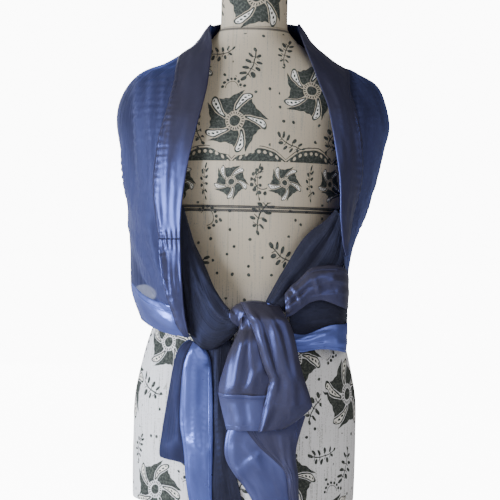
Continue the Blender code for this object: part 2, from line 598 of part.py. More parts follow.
# The knot, the right tail and the loop.
ends = [tree_of(piece) for piece in (drape_left, drape_right, gather_chiffon, gather_band, gather_border)]
knot = knot_piece(ends)
tail_right = strip_piece("tail_right", 13, 8, form_trees + [tree_of(tail_back)], "chiffon")
tail_right_band = strip_piece("tail_right_band", 12, 6, [tree_of(tail_right)], "satin")
under_loop = ends + [tree_of(piece) for piece in (knot, tail_back, tail_band, tail_right, tail_right_band)]
loop = strip_piece("loop_chiffon", 13, 8, under_loop, "chiffon", table="loop", span=(0.0, 5.99),
                   gap=0.0009)
loop_border = strip_piece("loop_border", 6, 8, under_loop, "satin", table="loop", span=(6.01, 9.0),
                          gap=0.0009)
under_fold = under_loop + [tree_of(loop), tree_of(loop_border)]
loop_fold = strip_piece("loop_fold", 15, 8, under_fold, "satin")
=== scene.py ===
# Evening stole on a limbless dress form.
# Metres, +Z up, the form faces -Y, left and right are the viewer's. The tables of
# sections, rings, folds and creases are in millimetres.
import math

import bmesh
import bpy
import numpy as np
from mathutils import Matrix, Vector, noise
from mathutils.bvhtree import BVHTree


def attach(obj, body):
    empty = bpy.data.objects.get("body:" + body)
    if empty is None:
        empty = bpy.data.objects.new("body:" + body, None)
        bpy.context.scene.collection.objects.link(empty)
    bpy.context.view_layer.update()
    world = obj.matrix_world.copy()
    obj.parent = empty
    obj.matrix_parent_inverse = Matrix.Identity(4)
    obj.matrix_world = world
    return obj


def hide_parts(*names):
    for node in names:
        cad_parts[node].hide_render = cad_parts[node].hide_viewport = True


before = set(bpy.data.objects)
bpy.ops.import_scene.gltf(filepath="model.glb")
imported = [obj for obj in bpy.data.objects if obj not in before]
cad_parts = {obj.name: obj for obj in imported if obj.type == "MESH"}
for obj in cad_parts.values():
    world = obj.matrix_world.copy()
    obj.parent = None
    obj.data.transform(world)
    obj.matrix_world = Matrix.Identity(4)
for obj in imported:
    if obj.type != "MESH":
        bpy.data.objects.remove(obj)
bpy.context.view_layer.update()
mm = 0.001
print("frame loaded:", len(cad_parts), "solids")


# small helpers for tables and grids
def smoothRows(rows, place):
    # values between the rows of a table, at places counted in rows
    table = np.asarray(rows, dtype=float)
    last = len(table) - 1
    place = np.clip(np.asarray(place, dtype=float), 0.0, last)
    low = np.minimum(np.floor(place).astype(int), last - 1)
    part = (place - low)[..., None]
    before, one, two, after = (table[np.clip(low + k, 0, last)] for k in (-1, 0, 1, 2))
    return 0.5 * (2 * one + (two - before) * part
                  + (2 * before - 5 * one + 4 * two - after) * part ** 2
                  + (3 * one - before - 3 * two + after) * part ** 3)


def creaseLift(x, z, bends, lean=1.0):
    # height of soft ridges along bends: x, z at three points, width, height;
    # lean over 1 makes them steep on their left and gentle on their right
    lift = np.zeros_like(x)
    part = np.linspace(0, 1, 25)
    for x0, z0, x1, z1, x2, z2, width, height in np.asarray(bends) * mm:
        lineX = (1 - part) ** 2 * x0 + 2 * part * (1 - part) * x1 + part ** 2 * x2
        lineZ = (1 - part) ** 2 * z0 + 2 * part * (1 - part) * z1 + part ** 2 * z2
        away = np.hypot(x[..., None] - lineX, z[..., None] - lineZ)
        index = np.argmin(away, axis=-1)
        nearest = part[index]
        ends = np.minimum(1.0, np.minimum(4 * nearest, 4 * (1 - nearest)) + 0.10)
        tangentX, tangentZ = np.gradient(lineX)[index], np.gradient(lineZ)[index]
        side = (x - lineX[index]) * tangentZ - (z - lineZ[index]) * tangentX
        right = side * np.where(tangentZ > 0, 1, -1) > 0
        spread = width * np.where(right, lean, 1 / lean ** 0.5)
        lift += height * ends * np.exp(-(away.min(axis=-1) / spread) ** 1.7)
    return lift


def ripple(u, v, scaleU, scaleV, seed):
    # soft unevenness, the same on every run
    flat = [noise.noise(Vector((a * scaleU, b * scaleV, seed))) for a, b in zip(u.ravel(), v.ravel())]
    return np.array(flat).reshape(u.shape)


def gridNormals(points):
    down = np.gradient(points, axis=0)
    across = np.gradient(points, axis=1)
    normal = np.cross(down, across)
    return normal / np.maximum(np.linalg.norm(normal, axis=2), 1e-9)[:, :, None]


def softened(values, times):
    for _ in range(times):
        padded = np.pad(values, 1, mode="edge")
        values = (padded[:-2, 1:-1] + padded[2:, 1:-1] + padded[1:-1, :-2] + padded[1:-1, 2:]
                  + 2 * values) / 6
    return values


def spreadPush(push, reach, times):
    # the largest push within reach, softened, so that a surface stays smooth
    for _ in range(reach):
        padded = np.pad(push, 1, mode="edge")
        push = np.max([padded[1:-1, 1:-1], padded[:-2, 1:-1], padded[2:, 1:-1], padded[1:-1, :-2],
                       padded[1:-1, 2:]], axis=0)
    return softened(push, times)


def treeOf(obj):
    mesh = obj.data
    mesh.calc_loop_triangles()
    spots = [vertex.co.copy() for vertex in mesh.vertices]
    return BVHTree.FromPolygons(spots, [tuple(tri.vertices) for tri in mesh.loop_triangles])


def gridPiece(name, points, material, flat=None, closed=False, hemEdges=(), folds=None):
    # a grid of points as one mesh, with a UV map in metres of cloth
    rows, columns = points.shape[:2]
    built = bmesh.new()
    layer = built.loops.layers.uv.new("cloth")
    hem = built.verts.layers.float.new("hem")
    fold = built.verts.layers.float.new("fold")
    bmesh.ops.create_grid(built, x_segments=columns - 1, y_segments=rows - 1, size=1.0)
    place = {}
    for vertex in built.verts:
        j = round((vertex.co.x + 1) / 2 * (columns - 1))
        i = round((vertex.co.y + 1) / 2 * (rows - 1))
        place[vertex] = (i, j)
        vertex.co = points[i, j]
    across = np.linalg.norm(np.diff(points, axis=1), axis=2).mean(axis=0)
    down = np.linalg.norm(np.diff(points, axis=0), axis=2).mean(axis=1)
    spotU = np.concatenate(([0.0], np.cumsum(across)))
    spotV = np.concatenate(([0.0], np.cumsum(down)))
    if flat is not None:
        spotU *= flat / max(spotU[-1], 1e-6)
    for vertex, (i, j) in place.items():
        gaps = {"left": spotU[j], "right": spotU[-1] - spotU[j],
                "top": spotV[i], "bottom": spotV[-1] - spotV[i]}
        vertex[hem] = min([gaps[edge] for edge in hemEdges] + [0.5])
        # fold: crease height that sets the painted shade and painted light of the cloth's tone
        vertex[fold] = 0.4 if folds is None else float(folds[i, j])
    for face in built.faces:
        for loop in face.loops:
            i, j = place[loop.vert]
            loop[layer].uv = (spotU[j], spotV[i])
        face.smooth = True
    if closed:
        bmesh.ops.remove_doubles(built, verts=built.verts, dist=1e-6)
    mesh = bpy.data.meshes.new(name)
    built.to_mesh(mesh)
    built.free()
    obj = bpy.data.objects.new(name, mesh)
    bpy.context.scene.collection.objects.link(obj)
    mesh.materials.append(material)
    return obj


def turnFaces(obj, outward):
    # faces point the way that outward gives for a face's middle
    built = bmesh.new()
    built.from_mesh(obj.data)
    built.normal_update()
    total = sum(face.normal.dot(outward(face.calc_center_median())) for face in built.faces)
    if total < 0:
        bmesh.ops.reverse_faces(built, faces=built.faces)
    built.to_mesh(obj.data)
    built.free()


def towardsViewer(middle):
    return Vector((0, -1, 0))


def awayFromAxis(middle):
    return Vector((middle.x, middle.y, 0.25 * (middle.z - 0.4)))


def finishPiece(obj, node):
    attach(obj, "root")
    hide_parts(node)
    return obj


def clothPiece(name, node, slotName, points, material, outward, thickness, **grid):
    # a thin sheet, in place of the CAD node of the same stretch
    obj = gridPiece(name, points, material, **grid)
    turnFaces(obj, outward)
    wall = obj.modifiers.new("thickness", "SOLIDIFY")
    wall.thickness = thickness
    wall.offset = -1.0
    return finishPiece(obj, node)


# shader helpers: a wire is a value inside a node tree, and takes part in sums
class Wire:
    def __init__(self, node, output=0):
        self.tree, self.socket = node.id_data, node.outputs[output]

    def __add__(self, other):
        return calc("ADD", self, other)

    def __sub__(self, other):
        return calc("SUBTRACT", self, other)

    def __rsub__(self, other):
        return calc("SUBTRACT", other, self)

    def __mul__(self, other):
        return calc("MULTIPLY", self, other)

    def __truediv__(self, other):
        return calc("DIVIDE", self, other)

    def __gt__(self, other):
        return calc("GREATER_THAN", self, other)

    def __lt__(self, other):
        return calc("LESS_THAN", self, other)

    def __abs__(self):
        return calc("ABSOLUTE", self)


def plug(socket, value):
    if isinstance(value, Wire):
        value.tree.links.new(value.socket, socket)
    else:
        socket.default_value = value


def fill(node, values):
    for label, value in values.items():
        plug(node.inputs[label], value)


def addNode(tree, kind, values=None, **settings):
    node = tree.nodes.new(kind)
    for key, value in settings.items():
        setattr(node, key, value)
    fill(node, values or {})
    return node


def calc(operation, *values):
    tree = next(value.tree for value in values if isinstance(value, Wire))
    return Wire(addNode(tree, "ShaderNodeMath", dict(enumerate(values)), operation=operation))


def mulAdd(value, factor, more):
    return calc("MULTIPLY_ADD", value, factor, more)


def fract(value):
    return calc("FRACT", value)


def lengthOf(x, y):
    return calc("SQRT", x * x + y * y)


def largest(*masks):
    total = masks[0]
    for mask in masks[1:]:
        total = calc("MAXIMUM", total, mask)
    return total


def vectorCalc(operation, values, output=0):
    return Wire(addNode(values[0].tree, "ShaderNodeVectorMath", values, operation=operation), output)


def axesOf(vector):
    node = addNode(vector.tree, "ShaderNodeSeparateXYZ", {0: vector})
    return [Wire(node, k) for k in range(3)]


def vectorOf(x, y):
    return Wire(addNode(x.tree, "ShaderNodeCombineXYZ", {0: x, 1: y}))


def softStep(value, low, high, kind="SMOOTHSTEP"):
    # 0 at low and 1 at high, with a smooth change between them
    limits = {"Value": value, "From Min": low, "From Max": high}
    return Wire(addNode(value.tree, "ShaderNodeMapRange", limits, interpolation_type=kind))


def noiseOf(vector, scale, detail=2.0, roughness=0.5, output="Fac"):
    values = {"Vector": vector, "Scale": scale, "Detail": detail, "Roughness": roughness}
    return Wire(addNode(vector.tree, "ShaderNodeTexNoise", values), output)


def scaled(vector, factors):
    return Wire(addNode(vector.tree, "ShaderNodeMapping", {"Vector": vector, "Scale": factors}))


def seenFrom(vector, place, size, turn=0.0):
    # the vector as seen from a turned place, where the size counts as 1
    values = {"Vector": vector, "Location": place, "Rotation": (0, 0, turn), "Scale": size}
    return Wire(addNode(vector.tree, "ShaderNodeMapping", values, vector_type="TEXTURE"))


def mixColours(factor, first, second):
    return Wire(addNode(factor.tree, "ShaderNodeMix", {0: factor, 6: first, 7: second}, data_type="RGBA"), 2)


def bumped(height, distance, strength=1.0, under=None):
    values = {"Height": height, "Distance": distance, "Strength": strength}
    if under is not None:
        values["Normal"] = under
    return Wire(addNode(height.tree, "ShaderNodeBump", values))


def newMaterial(name):
    material = bpy.data.materials.new(name)
    material.use_nodes = True
    return material, material.node_tree, material.node_tree.nodes["Principled BSDF"]


def newGroup(name, inputs, outputs):
    # inputs are numbers with their usual values, beside the vector that each group takes
    group = bpy.data.node_groups.new(name, "ShaderNodeTree")
    group.interface.new_socket(name="Vector", in_out="INPUT", socket_type="NodeSocketVector")
    for label, value in inputs.items():
        socket = group.interface.new_socket(name=label, in_out="INPUT", socket_type="NodeSocketFloat")
        socket.default_value = value
    for label in outputs:
        group.interface.new_socket(name=label, in_out="OUTPUT", socket_type="NodeSocketFloat")
    given, result = group.nodes.new("NodeGroupInput"), group.nodes.new("NodeGroupOutput")
    return group, {label: Wire(given, label) for label in ("Vector", *inputs)}, result


def useGroup(group, vector, **values):
    node = addNode(vector.tree, "ShaderNodeGroup", node_tree=group)
    fill(node, {"Vector": vector, **values})
    return {socket.name: Wire(node, socket.name) for socket in node.outputs}


def clothUv(tree):
    return Wire(addNode(tree, "ShaderNodeUVMap", uv_map="cloth"))


def clothValue(tree, name):
    # hem: distance to a sewn edge; fold: 0 in the cloth's troughs and 1 on its ridges, which sets painted
    # shade and painted light
    return Wire(addNode(tree, "ShaderNodeAttribute", attribute_name=name, attribute_type="GEOMETRY"), "Fac")


def objectPlace(tree):
    return Wire(addNode(tree, "ShaderNodeTexCoord"), "Object")


# groups: weave, crinkle, hem stitches
def buildWeave():
    group, given, result = newGroup("clothWeave", {"Threads": 900.0}, ("Height", "Fleck"))
    fill(result, {"Height": noiseOf(given["Vector"], given["Threads"]),
                  "Fleck": noiseOf(scaled(given["Vector"], (40.0, 400.0, 1.0)), 1.0)})
    return group


def buildCrinkle():
    # fine uneven creases, long along V
    group, given, result = newGroup("clothCrinkle", {"Length": 14.0, "Breadth": 60.0}, ("Height",))
    across, along, _ = axesOf(given["Vector"])
    rough = noiseOf(vectorOf(across * given["Breadth"], along * given["Length"]), 1.0, 3.0, 0.55)
    fill(result, {"Height": mulAdd(abs(rough - 0.5), -2.0, 1.0)})
    return group


hemLook = {"line": 0.0015, "stitches": 380.0, "step": 0.7, "dent": -0.6, "thread": 0.5}


def buildHem(look):
    # a row of stitches and the step of the turned hem, from the distance to the edge
    group, given, result = newGroup("hemStitch", {"Edge": 0.5, "Turned": 0.008}, ("Height", "Thread"))
    edge, turned = given["Edge"], given["Turned"]
    step = softStep(turned - edge, -0.0006, 0.0004)
    near = softStep(abs(edge - (turned - look["line"])), 0.0007, 0.0003)
    dash = fract(axesOf(given["Vector"])[1] * look["stitches"])
    thread = near * softStep(dash, 0.35, 0.25)
    fill(result, {"Thread": thread,
                  "Height": step * look["step"] + near * look["dent"] + thread * look["thread"]})
    return group


weaveGroup = buildWeave()
crinkleGroup = buildCrinkle()
hemGroup = buildHem(hemLook)

# what the cloths share; crinkle is the breadth, length and height of the fine creases
clothLook = {"threads": 700.0, "threadBump": 0.00004, "threadStrength": 0.4, "hemBump": 0.0006}
# shade and light are the colours of the painted shade in the troughs and the painted light on the ridges
satinLook = {
    "shade": (0.038, 0.034, 0.040, 1), "light": (0.044, 0.042, 0.062, 1), "stitch": (0.010, 0.012, 0.03, 1),
    "roughness": 0.36, "mottle": 0.20, "anisotropic": 0.20, "specular": 1.0, "ior": 1.68,
    "specularTint": (0.19, 0.27, 0.95, 1), "sheen": 0.03, "sheenTint": (0.45, 0.50, 1.0, 1),
    "patches": 11.0, "patchShare": 0.5, "foldShare": 0.6, "turned": 0.007, "crinkle": (9.0, 10.0, 0.0008),
}
# shade and light: painted shade in the troughs and painted light on the ridges, as for the satin
chiffonLook = {
    "shade": (0.020, 0.020, 0.036, 1), "light": (0.052, 0.058, 0.138, 1), "fleck": (0.07, 0.08, 0.14, 1),
    "roughness": 0.50, "specular": 0.25, "alpha": 0.925, "sheen": 0.50, "sheenTint": (0.20, 0.30, 1.0, 1),
    # place, size, share and tone of one spot of painted light, where light shows through a single layer
    "paintedGlowPlace": (-0.160, -0.060, 0.329), "paintedGlowSize": (0.023, 0.110, 0.014), "paintedGlowShare": 0.8,
    "paintedGlowTone": (0.20, 0.21, 0.27, 1), "patches": 16.0, "patchShare": 0.25, "foldShare": 0.85,
    "turned": 0.005, "crinkle": (46.0, 5.0, 0.0016),
}


def clothParts(tree, look):
    # coordinates, weave, crinkle, hem, and the normal of the crinkle alone
    uv = clothUv(tree)
    breadth, length, height = look["crinkle"]
    weave = useGroup(weaveGroup, uv, Threads=clothLook["threads"])
    creases = useGroup(crinkleGroup, uv, Length=length, Breadth=breadth)["Height"]
    hem = useGroup(hemGroup, uv, Edge=clothValue(tree, "hem"), Turned=look["turned"])
    return uv, weave, creases, hem, bumped(creases, height)


def foldTone(tree, patches, look):
    # from painted shade in the troughs to painted light on the ridges, a little uneven
    high = mulAdd(patches, look["patchShare"], clothValue(tree, "fold") * look["foldShare"])
    return mixColours(calc("MINIMUM", high, 1.0), look["shade"], look["light"])


def woven(weave, under):
    return bumped(weave["Height"], clothLook["threadBump"], clothLook["threadStrength"], under)


def satinMaterial(name, **changes):
    look = {**satinLook, **changes}
    material, tree, shader = newMaterial(name)
    uv, weave, _, hem, soft = clothParts(tree, look)
    tone = foldTone(tree, softStep(noiseOf(uv, look["patches"], 3.0), 0.3, 0.7), look)
    fill(shader, {
        "Base Color": mixColours(hem["Thread"] * 0.6, tone, look["stitch"]),
        "Roughness": mulAdd(noiseOf(uv, 30.0, 3.0), look["mottle"], look["roughness"] - look["mottle"] / 2),
        "IOR": look["ior"], "Specular IOR Level": look["specular"], "Specular Tint": look["specularTint"],
        "Anisotropic": look["anisotropic"], "Sheen Weight": look["sheen"], "Sheen Roughness": 0.35,
        "Sheen Tint": look["sheenTint"],
        "Normal": woven(weave, bumped(hem["Height"], clothLook["hemBump"], 1.0, soft))})
    return material


def chiffonMaterial(name, **changes):
    look = {**chiffonLook, **changes}
    material, tree, shader = newMaterial(name)
    uv, weave, creases, hem, soft = clothParts(tree, look)
    patches = noiseOf(scaled(uv, (1.0, 0.4, 1.0)), look["patches"], 4.0)
    tone = foldTone(tree, softStep(patches, 0.3, 0.75), look)
    tone = mixColours(weave["Fleck"] * 0.08, tone, look["fleck"])
    # one place painted lighter: a painted glow standing for the light behind a single layer showing through
    spot = seenFrom(objectPlace(tree), look["paintedGlowPlace"], look["paintedGlowSize"])
    thin = softStep(vectorCalc("LENGTH", {0: spot}, "Value"), 1.05, 0.85) * look["paintedGlowShare"]
    # the open weave lets a little through, and least along the sewn edges
    cover = mulAdd(creases, 0.08, look["alpha"] - 0.05) + hem["Height"] * 0.2
    fill(shader, {
        "Base Color": mixColours(thin, tone, look["paintedGlowTone"]),
        "Roughness": mulAdd(weave["Fleck"], 0.15, look["roughness"] - 0.07),
        "Specular IOR Level": look["specular"], "Specular Tint": look["sheenTint"],
        "Sheen Weight": look["sheen"], "Sheen Roughness": 0.4, "Sheen Tint": look["sheenTint"],
        "Alpha": calc("MINIMUM", cover, 1.0), "Normal": woven(weave, soft)})
    return material


# one satin in four copies: the lapel as it is, lighter copies with painted light for pieces that face the
# light, and a darker copy with painted shade for the loop, knot and gathered bands
satinBand = satinMaterial("satin lapel")
satinPaintedBrightest = satinMaterial("satin border painted bright", ior=2.3, roughness=0.31, shade=(0.058, 0.062, 0.120, 1),
                          light=(0.120, 0.155, 0.430, 1), crinkle=(12.0, 16.0, 0.0010))
satinPaintedShaded = satinMaterial("satin loop painted dark", ior=1.56, shade=(0.046, 0.041, 0.047, 1),
                          light=(0.052, 0.049, 0.066, 1), crinkle=(14.0, 9.0, 0.0008))
satinPaintedLit = satinMaterial("satin tail painted light", ior=1.85, shade=(0.056, 0.054, 0.078, 1),
                          light=(0.096, 0.108, 0.235, 1), crinkle=(14.0, 9.0, 0.0008))
chiffonWide = chiffonMaterial("chiffon over the shoulders")
chiffonDark = chiffonMaterial("chiffon in layers", alpha=0.96, sheen=0.07, shade=(0.022, 0.021, 0.026, 1),
                              light=(0.030, 0.031, 0.048, 1))
print("cloth materials ready")


# lace cover of the form, drawn in one repeat that goes round the form
laceLook = {
    "repeat": 0.42, "rise": 0.21, "start": 0.010, "rowShift": 0.200, "band": (0.4740, 0.5360),
    "bandPitch": 0.084, "bandRadius": 0.0285, "bandShift": 0.030, "plain": (0.330, 0.4740),
    "warp": 0.007, "warpScale": 38.0, "bandWarp": 0.22, "petals": 5, "twist": 0.28,
    "dotScale": 34.0, "scallopBuds": 9.0, "neckSeam": 0.7525, "neckTop": 0.8344, "frontSeam": -0.033,
    "ground": (0.52, 0.448, 0.342, 1), "hipsPaintedLight": (0.90, 0.89, 0.90, 1), "pale": (0.90, 0.87, 0.80, 1),
    "thread": (0.034, 0.040, 0.036, 1), "mesh": (0.115, 0.125, 0.110, 1), "net": (0.30, 0.29, 0.26, 1),
    "seamTone": (0.25, 0.22, 0.18, 1), "neckSeamTone": (0.07, 0.065, 0.06, 1),
}
# motifs of one repeat: place across and up, size, turn in degrees
laceFlowers = (
    (-0.146, 0.012, 0.050, 12), (-0.038, -0.045, 0.058, 40), (-0.060, 0.064, 0.040, 200),
    (0.070, 0.032, 0.048, 101), (0.154, -0.040, 0.053, 300),
)
laceSprigs = (
    (-0.112, 0.082, 0.025, 20), (-0.002, 0.024, 0.031, -20), (0.036, -0.040, 0.032, 60),
    (0.096, -0.052, 0.029, 10), (-0.106, -0.062, 0.030, -35), (0.128, 0.072, 0.026, 100),
    (-0.180, -0.074, 0.026, 60), (0.036, 0.092, 0.022, -70), (0.178, 0.052, 0.030, 160),
    (-0.188, 0.074, 0.024, -15),
)
laceArcs = ((0.000, 0.078, 0.024, 200), (-0.088, 0.020, 0.021, 30), (0.148, 0.014, 0.018, 100))


def nearMotif(vector, table, reach):
    # place inside the nearest motif of a table, with its radius as 1, and 1 where one is near
    place, inside = None, None
    for across, up, size, turn in table:
        local = seenFrom(vector, (across, up, 0), (size, size, 1), math.radians(turn))
        near = vectorCalc("LENGTH", {0: local}, "Value") < reach
        kept = vectorCalc("SCALE", {0: local, "Scale": near})
        place = kept if place is None else vectorCalc("ADD", {0: place, 1: kept})
        inside = near if inside is None else calc("MAXIMUM", inside, near)
    return (*axesOf(place)[:2], inside)


def flowerThread(x, y, look):
    # dark petals like fans, pale curled ones with dots between them, a ringed middle
    perTurn = look["petals"] / 6.2832
    away = lengthOf(x, y)
    wave = (calc("ARCTAN2", y, x) + away * look["twist"]) * perTurn
    share = fract(wave) - 0.5
    side = abs(share) * 2.35
    fan = mulAdd(side * side, 0.27, 0.72) + calc("SINE", share * 26.0) * 0.014 - away
    fan = softStep(fan, -0.005, 0.012) * softStep(side, 1.02, 0.97)
    # the curled petals, folded into one
    turned = (fract(wave + 0.5) - 0.5) * (1.0 / perTurn)
    px = away * calc("COSINE", turned)
    py = away * calc("SINE", turned) + px * px * 0.26 - 0.09
    part = softStep(px, 0.34, 0.80, "LINEAR")
    gap = lengthOf(px - mulAdd(part, 0.46, 0.34), py) - mulAdd(part, 0.105, 0.025)
    curl = softStep(gap, -0.006, -0.012)
    line = softStep(gap, 0.022, 0.014) * softStep(gap, -0.030, -0.022)
    dots = softStep(lengthOf(fract(px * 8.6) - 0.5, fract(mulAdd(py, 8.6, 0.5)) - 0.5), 0.34, 0.27)
    dots = dots * softStep(gap, -0.045, -0.055)
    ticks = softStep(fract(wave * 4.0), 0.50, 0.42) * softStep(away, 0.19, 0.20) * softStep(away, 0.27, 0.26)
    middle = softStep(away, 0.165, 0.150)
    fan = fan * softStep(away, 0.27, 0.30) * softStep(gap, 0.038, 0.050)
    return largest(fan, line, dots, ticks, middle), curl


# leaves of one sprig: place, turn in degrees, half length, half breadth
sprigLeaves = (
    (0.00, 0.86, 90, 0.17, 0.105), (0.25, 0.60, 35, 0.18, 0.095), (-0.25, 0.50, 145, 0.18, 0.095),
    (0.30, 0.24, 20, 0.18, 0.090), (-0.31, 0.12, 160, 0.18, 0.090), (0.32, -0.16, 0, 0.17, 0.085),
    (-0.28, -0.26, 185, 0.16, 0.080), (0.24, -0.52, -30, 0.15, 0.075), (-0.18, -0.62, 215, 0.14, 0.070),
    (0.02, -0.88, -90, 0.10, 0.090),
)


def sprigThread(x, y):
    # a bowed stem with twigs and leaves
    bow = x - mulAdd(y * y, 0.30, -0.08)
    stem = abs(bow)
    ribs = fract(mulAdd(stem, -1.3, y * 2.75))
    twigs = softStep(abs(ribs - 0.5), 0.075, 0.045)
    masks = [softStep(stem, 0.040, 0.022) * softStep(abs(y), 0.86, 0.80),
             twigs * softStep(stem, 0.24, 0.22) * softStep(abs(y), 0.74, 0.70)]
    for leafX, leafY, degrees, longHalf, broadHalf in sprigLeaves:
        cosine, sine = math.cos(math.radians(degrees)), math.sin(math.radians(degrees))
        dx, dy = bow - leafX, y - leafY
        along = mulAdd(dx, cosine / longHalf, dy * (sine / longHalf))
        up = mulAdd(dy, cosine / broadHalf, dx * (-sine / broadHalf))
        masks.append(softStep(along * along + up * up, 1.15, 0.85))
    return largest(*masks)


def arcThread(x, y):
    # buds on a bent thread
    angle = calc("ARCTAN2", y, x)
    spot = calc("ROUND", angle * 2.2) / 2.2
    buds = lengthOf(x - calc("COSINE", spot) * 0.80, y - calc("SINE", spot) * 0.80)
    line = softStep(abs(lengthOf(x, y) - 0.56), 0.035, 0.018)
    return largest(softStep(buds, 0.145, 0.110), line) * softStep(abs(angle), 2.0, 1.9)


def buildLace(look):
    group, given, result = newGroup("laceCover", {}, ("Thread", "Pale", "Net"))
    plain = given["Vector"]
    across, up, _ = axesOf(plain)
    # the repeat round the form, moved along in every other row
    row = calc("ROUND", (up - look["start"]) / look["rise"])
    moved = mulAdd(row, look["rowShift"], across)
    turns = calc("ROUND", moved / look["repeat"])
    spot = vectorOf(mulAdd(turns, -look["repeat"], moved), mulAdd(row, -look["rise"], up) - look["start"])
    # lace is never quite even, so the place is warped a little
    bend = noiseOf(plain, look["warpScale"], output="Color")
    centred = vectorCalc("SUBTRACT", {0: bend, 1: (0.5, 0.5, 0.5)})
    vector = vectorCalc("MULTIPLY_ADD", {0: centred, 1: (look["warp"], look["warp"], 0), 2: spot})
    warpX, warpY, _ = axesOf(centred)

    def between(limits):
        return (up > limits[0]) * (up < limits[1])

    # a row of smaller flowers over the cords, and none on the plain part under them
    low, high = look["band"]
    inBand, inPlain = between(look["band"]), between(look["plain"])
    outBand = 1.0 - inBand
    place = (across + look["bandShift"]) / look["bandPitch"]
    size = look["bandPitch"] / look["bandRadius"]
    bandX = mulAdd(warpX, look["bandWarp"], (place - calc("ROUND", place)) * size)
    bandY = mulAdd(warpY, look["bandWarp"], (up - 0.5 * (low + high)) * (1.0 / look["bandRadius"]))
    flowerX, flowerY, onFlower = nearMotif(vector, laceFlowers, 1.04)
    big = onFlower * (1.0 - calc("MAXIMUM", inBand, inPlain))
    small = (lengthOf(bandX, bandY) < 1.04) * inBand
    onFlower = calc("MAXIMUM", big, small)
    flowers, pale = flowerThread(flowerX * big + bandX * small, flowerY * big + bandY * small, look)
    sprigX, sprigY, onSprig = nearMotif(vector, laceSprigs, 1.02)
    nextX = (fract(place) - 0.5) * (2.1 * size)
    sprigs = sprigThread(sprigX * outBand + nextX * inBand, sprigY * outBand + bandY * inBand)
    onSprig = onSprig * outBand + inBand
    arcX, arcY, onArc = nearMotif(vector, laceArcs, 1.0)
    # small dots in the spaces that are left
    cells = {"Vector": vector, "Scale": look["dotScale"], "Randomness": 0.8}
    cell = addNode(group, "ShaderNodeTexVoronoi", cells, feature="F1", voronoi_dimensions="2D")
    dots = softStep(Wire(cell, "Distance"), 0.098, 0.070) * (1.0 - onSprig) * (1.0 - onArc)
    # dark scallops over the row of small flowers, each with a line of buds
    arch = fract(place) - 0.5
    above = mulAdd(warpX, 0.006, up - (high + 0.001) - mulAdd(arch * arch, -0.080, 0.020))
    scallop = softStep(above, 0.0004, -0.0004) * softStep(up, high, high + 0.001)
    edging = softStep(abs(above - 0.0035), 0.0009, 0.0004)
    budX = (fract(place * look["scallopBuds"]) - 0.5) * (look["bandPitch"] / look["scallopBuds"])
    buds = softStep(lengthOf(budX, above + 0.0055), 0.0030, 0.0022)
    scallop = largest(scallop - scallop * buds, edging * outBand)
    rest = largest(sprigs * onSprig, arcThread(arcX, arcY) * onArc, dots, scallop) * (1.0 - onFlower)
    strands = noiseOf(scaled(plain, (520.0, 14.0, 1.0)), 1.0)
    fill(result, {"Thread": largest(flowers * onFlower, rest), "Pale": pale * onFlower,
                  "Net": mulAdd(noiseOf(plain, 420.0, 1.0), 0.35, strands * 0.65)})
    return group


laceGroup = buildLace(laceLook)


def formMaterial(name, look):
    material, tree, shader = newMaterial(name)
    uv = clothUv(tree)
    x, y, z = axesOf(objectPlace(tree))
    lace = useGroup(laceGroup, vectorOf(axesOf(uv)[0], z))
    # painted light: the ground turns near white towards the hips, where the light falls brighter
    ground = mixColours(softStep(z, 0.24, 0.36), look["hipsPaintedLight"], look["ground"])
    ground = mixColours(softStep(lace["Net"], 0.50, 0.72), ground, look["net"])
    seam = softStep(abs(x - look["frontSeam"]), 0.0012, 0.0004) * softStep(y, 0.0, -0.01)
    ground = mixColours(seam * 0.35, ground, look["seamTone"])
    neckLine = softStep(abs(z - look["neckSeam"]), 0.0026, 0.0012)
    ground = mixColours(neckLine * 0.85, ground, look["neckSeamTone"])
    # the flat top of the neck has no flowers
    sides = z < look["neckTop"]
    laceThread = lace["Thread"] * sides
    ground = mixColours(lace["Pale"] * sides, ground, look["pale"])
    thread = mixColours(softStep(noiseOf(uv, 260.0, 3.0, 0.7), 0.40, 0.72), look["thread"], look["mesh"])
    fill(shader, {
        "Base Color": mixColours(laceThread, ground, thread), "Specular IOR Level": 0.25,
        "Roughness": mulAdd(laceThread, 0.1, 0.72),
        "Normal": bumped(lace["Net"], 0.0002, 0.6, bumped(laceThread, 0.0005))})
    return material


def cordMaterial(name):
    material, tree, shader = newMaterial(name)
    across, along, _ = axesOf(clothUv(tree))
    twist = calc("SINE", mulAdd(across, 2600.0, along * 1800.0))
    tone = mixColours(mulAdd(twist, 0.5, 0.5), (0.03, 0.033, 0.032, 1), (0.10, 0.105, 0.10, 1))
    fill(shader, {"Base Color": tone, "Roughness": mulAdd(twist, 0.05, 0.6), "Normal": bumped(twist, 0.0003)})
    return material


laceMaterial = formMaterial("lace over the form", laceLook)
cordBlack = cordMaterial("twisted cord")


# The form: sections of height, half width, depth in front, depth behind.
formSections = (
    (0, 177.5, 120, 120), (4, 179, 121, 122), (50, 180, 122, 125), (100, 180, 122, 128),
    (160, 179, 120, 129), (210, 170, 114, 120), (260, 157, 106, 106), (310, 138, 96, 92),
    (350, 126.5, 88, 85), (390, 129, 90, 84), (430, 138, 100, 88), (470, 147, 117, 93),
    (510, 154, 129, 98), (545, 161, 131, 102), (580, 174, 122, 105), (610, 188, 108, 105),
    (635, 195, 97, 102), (655, 195, 88, 98), (670, 187, 81, 94), (682, 174, 75, 89), (692, 155, 70, 84),
    (700, 137, 66, 79), (709, 118, 62, 74), (720, 97, 58, 69), (735, 74, 53, 64), (748, 61, 50, 60),
    (756, 56, 50, 58),
)
neckSections = (
    (756.8, 54.5, 49, 57), (770, 54, 49, 55), (800, 54, 49.5, 54), (832, 54.5, 50, 54),
    (835, 53, 48.5, 52.5),
)
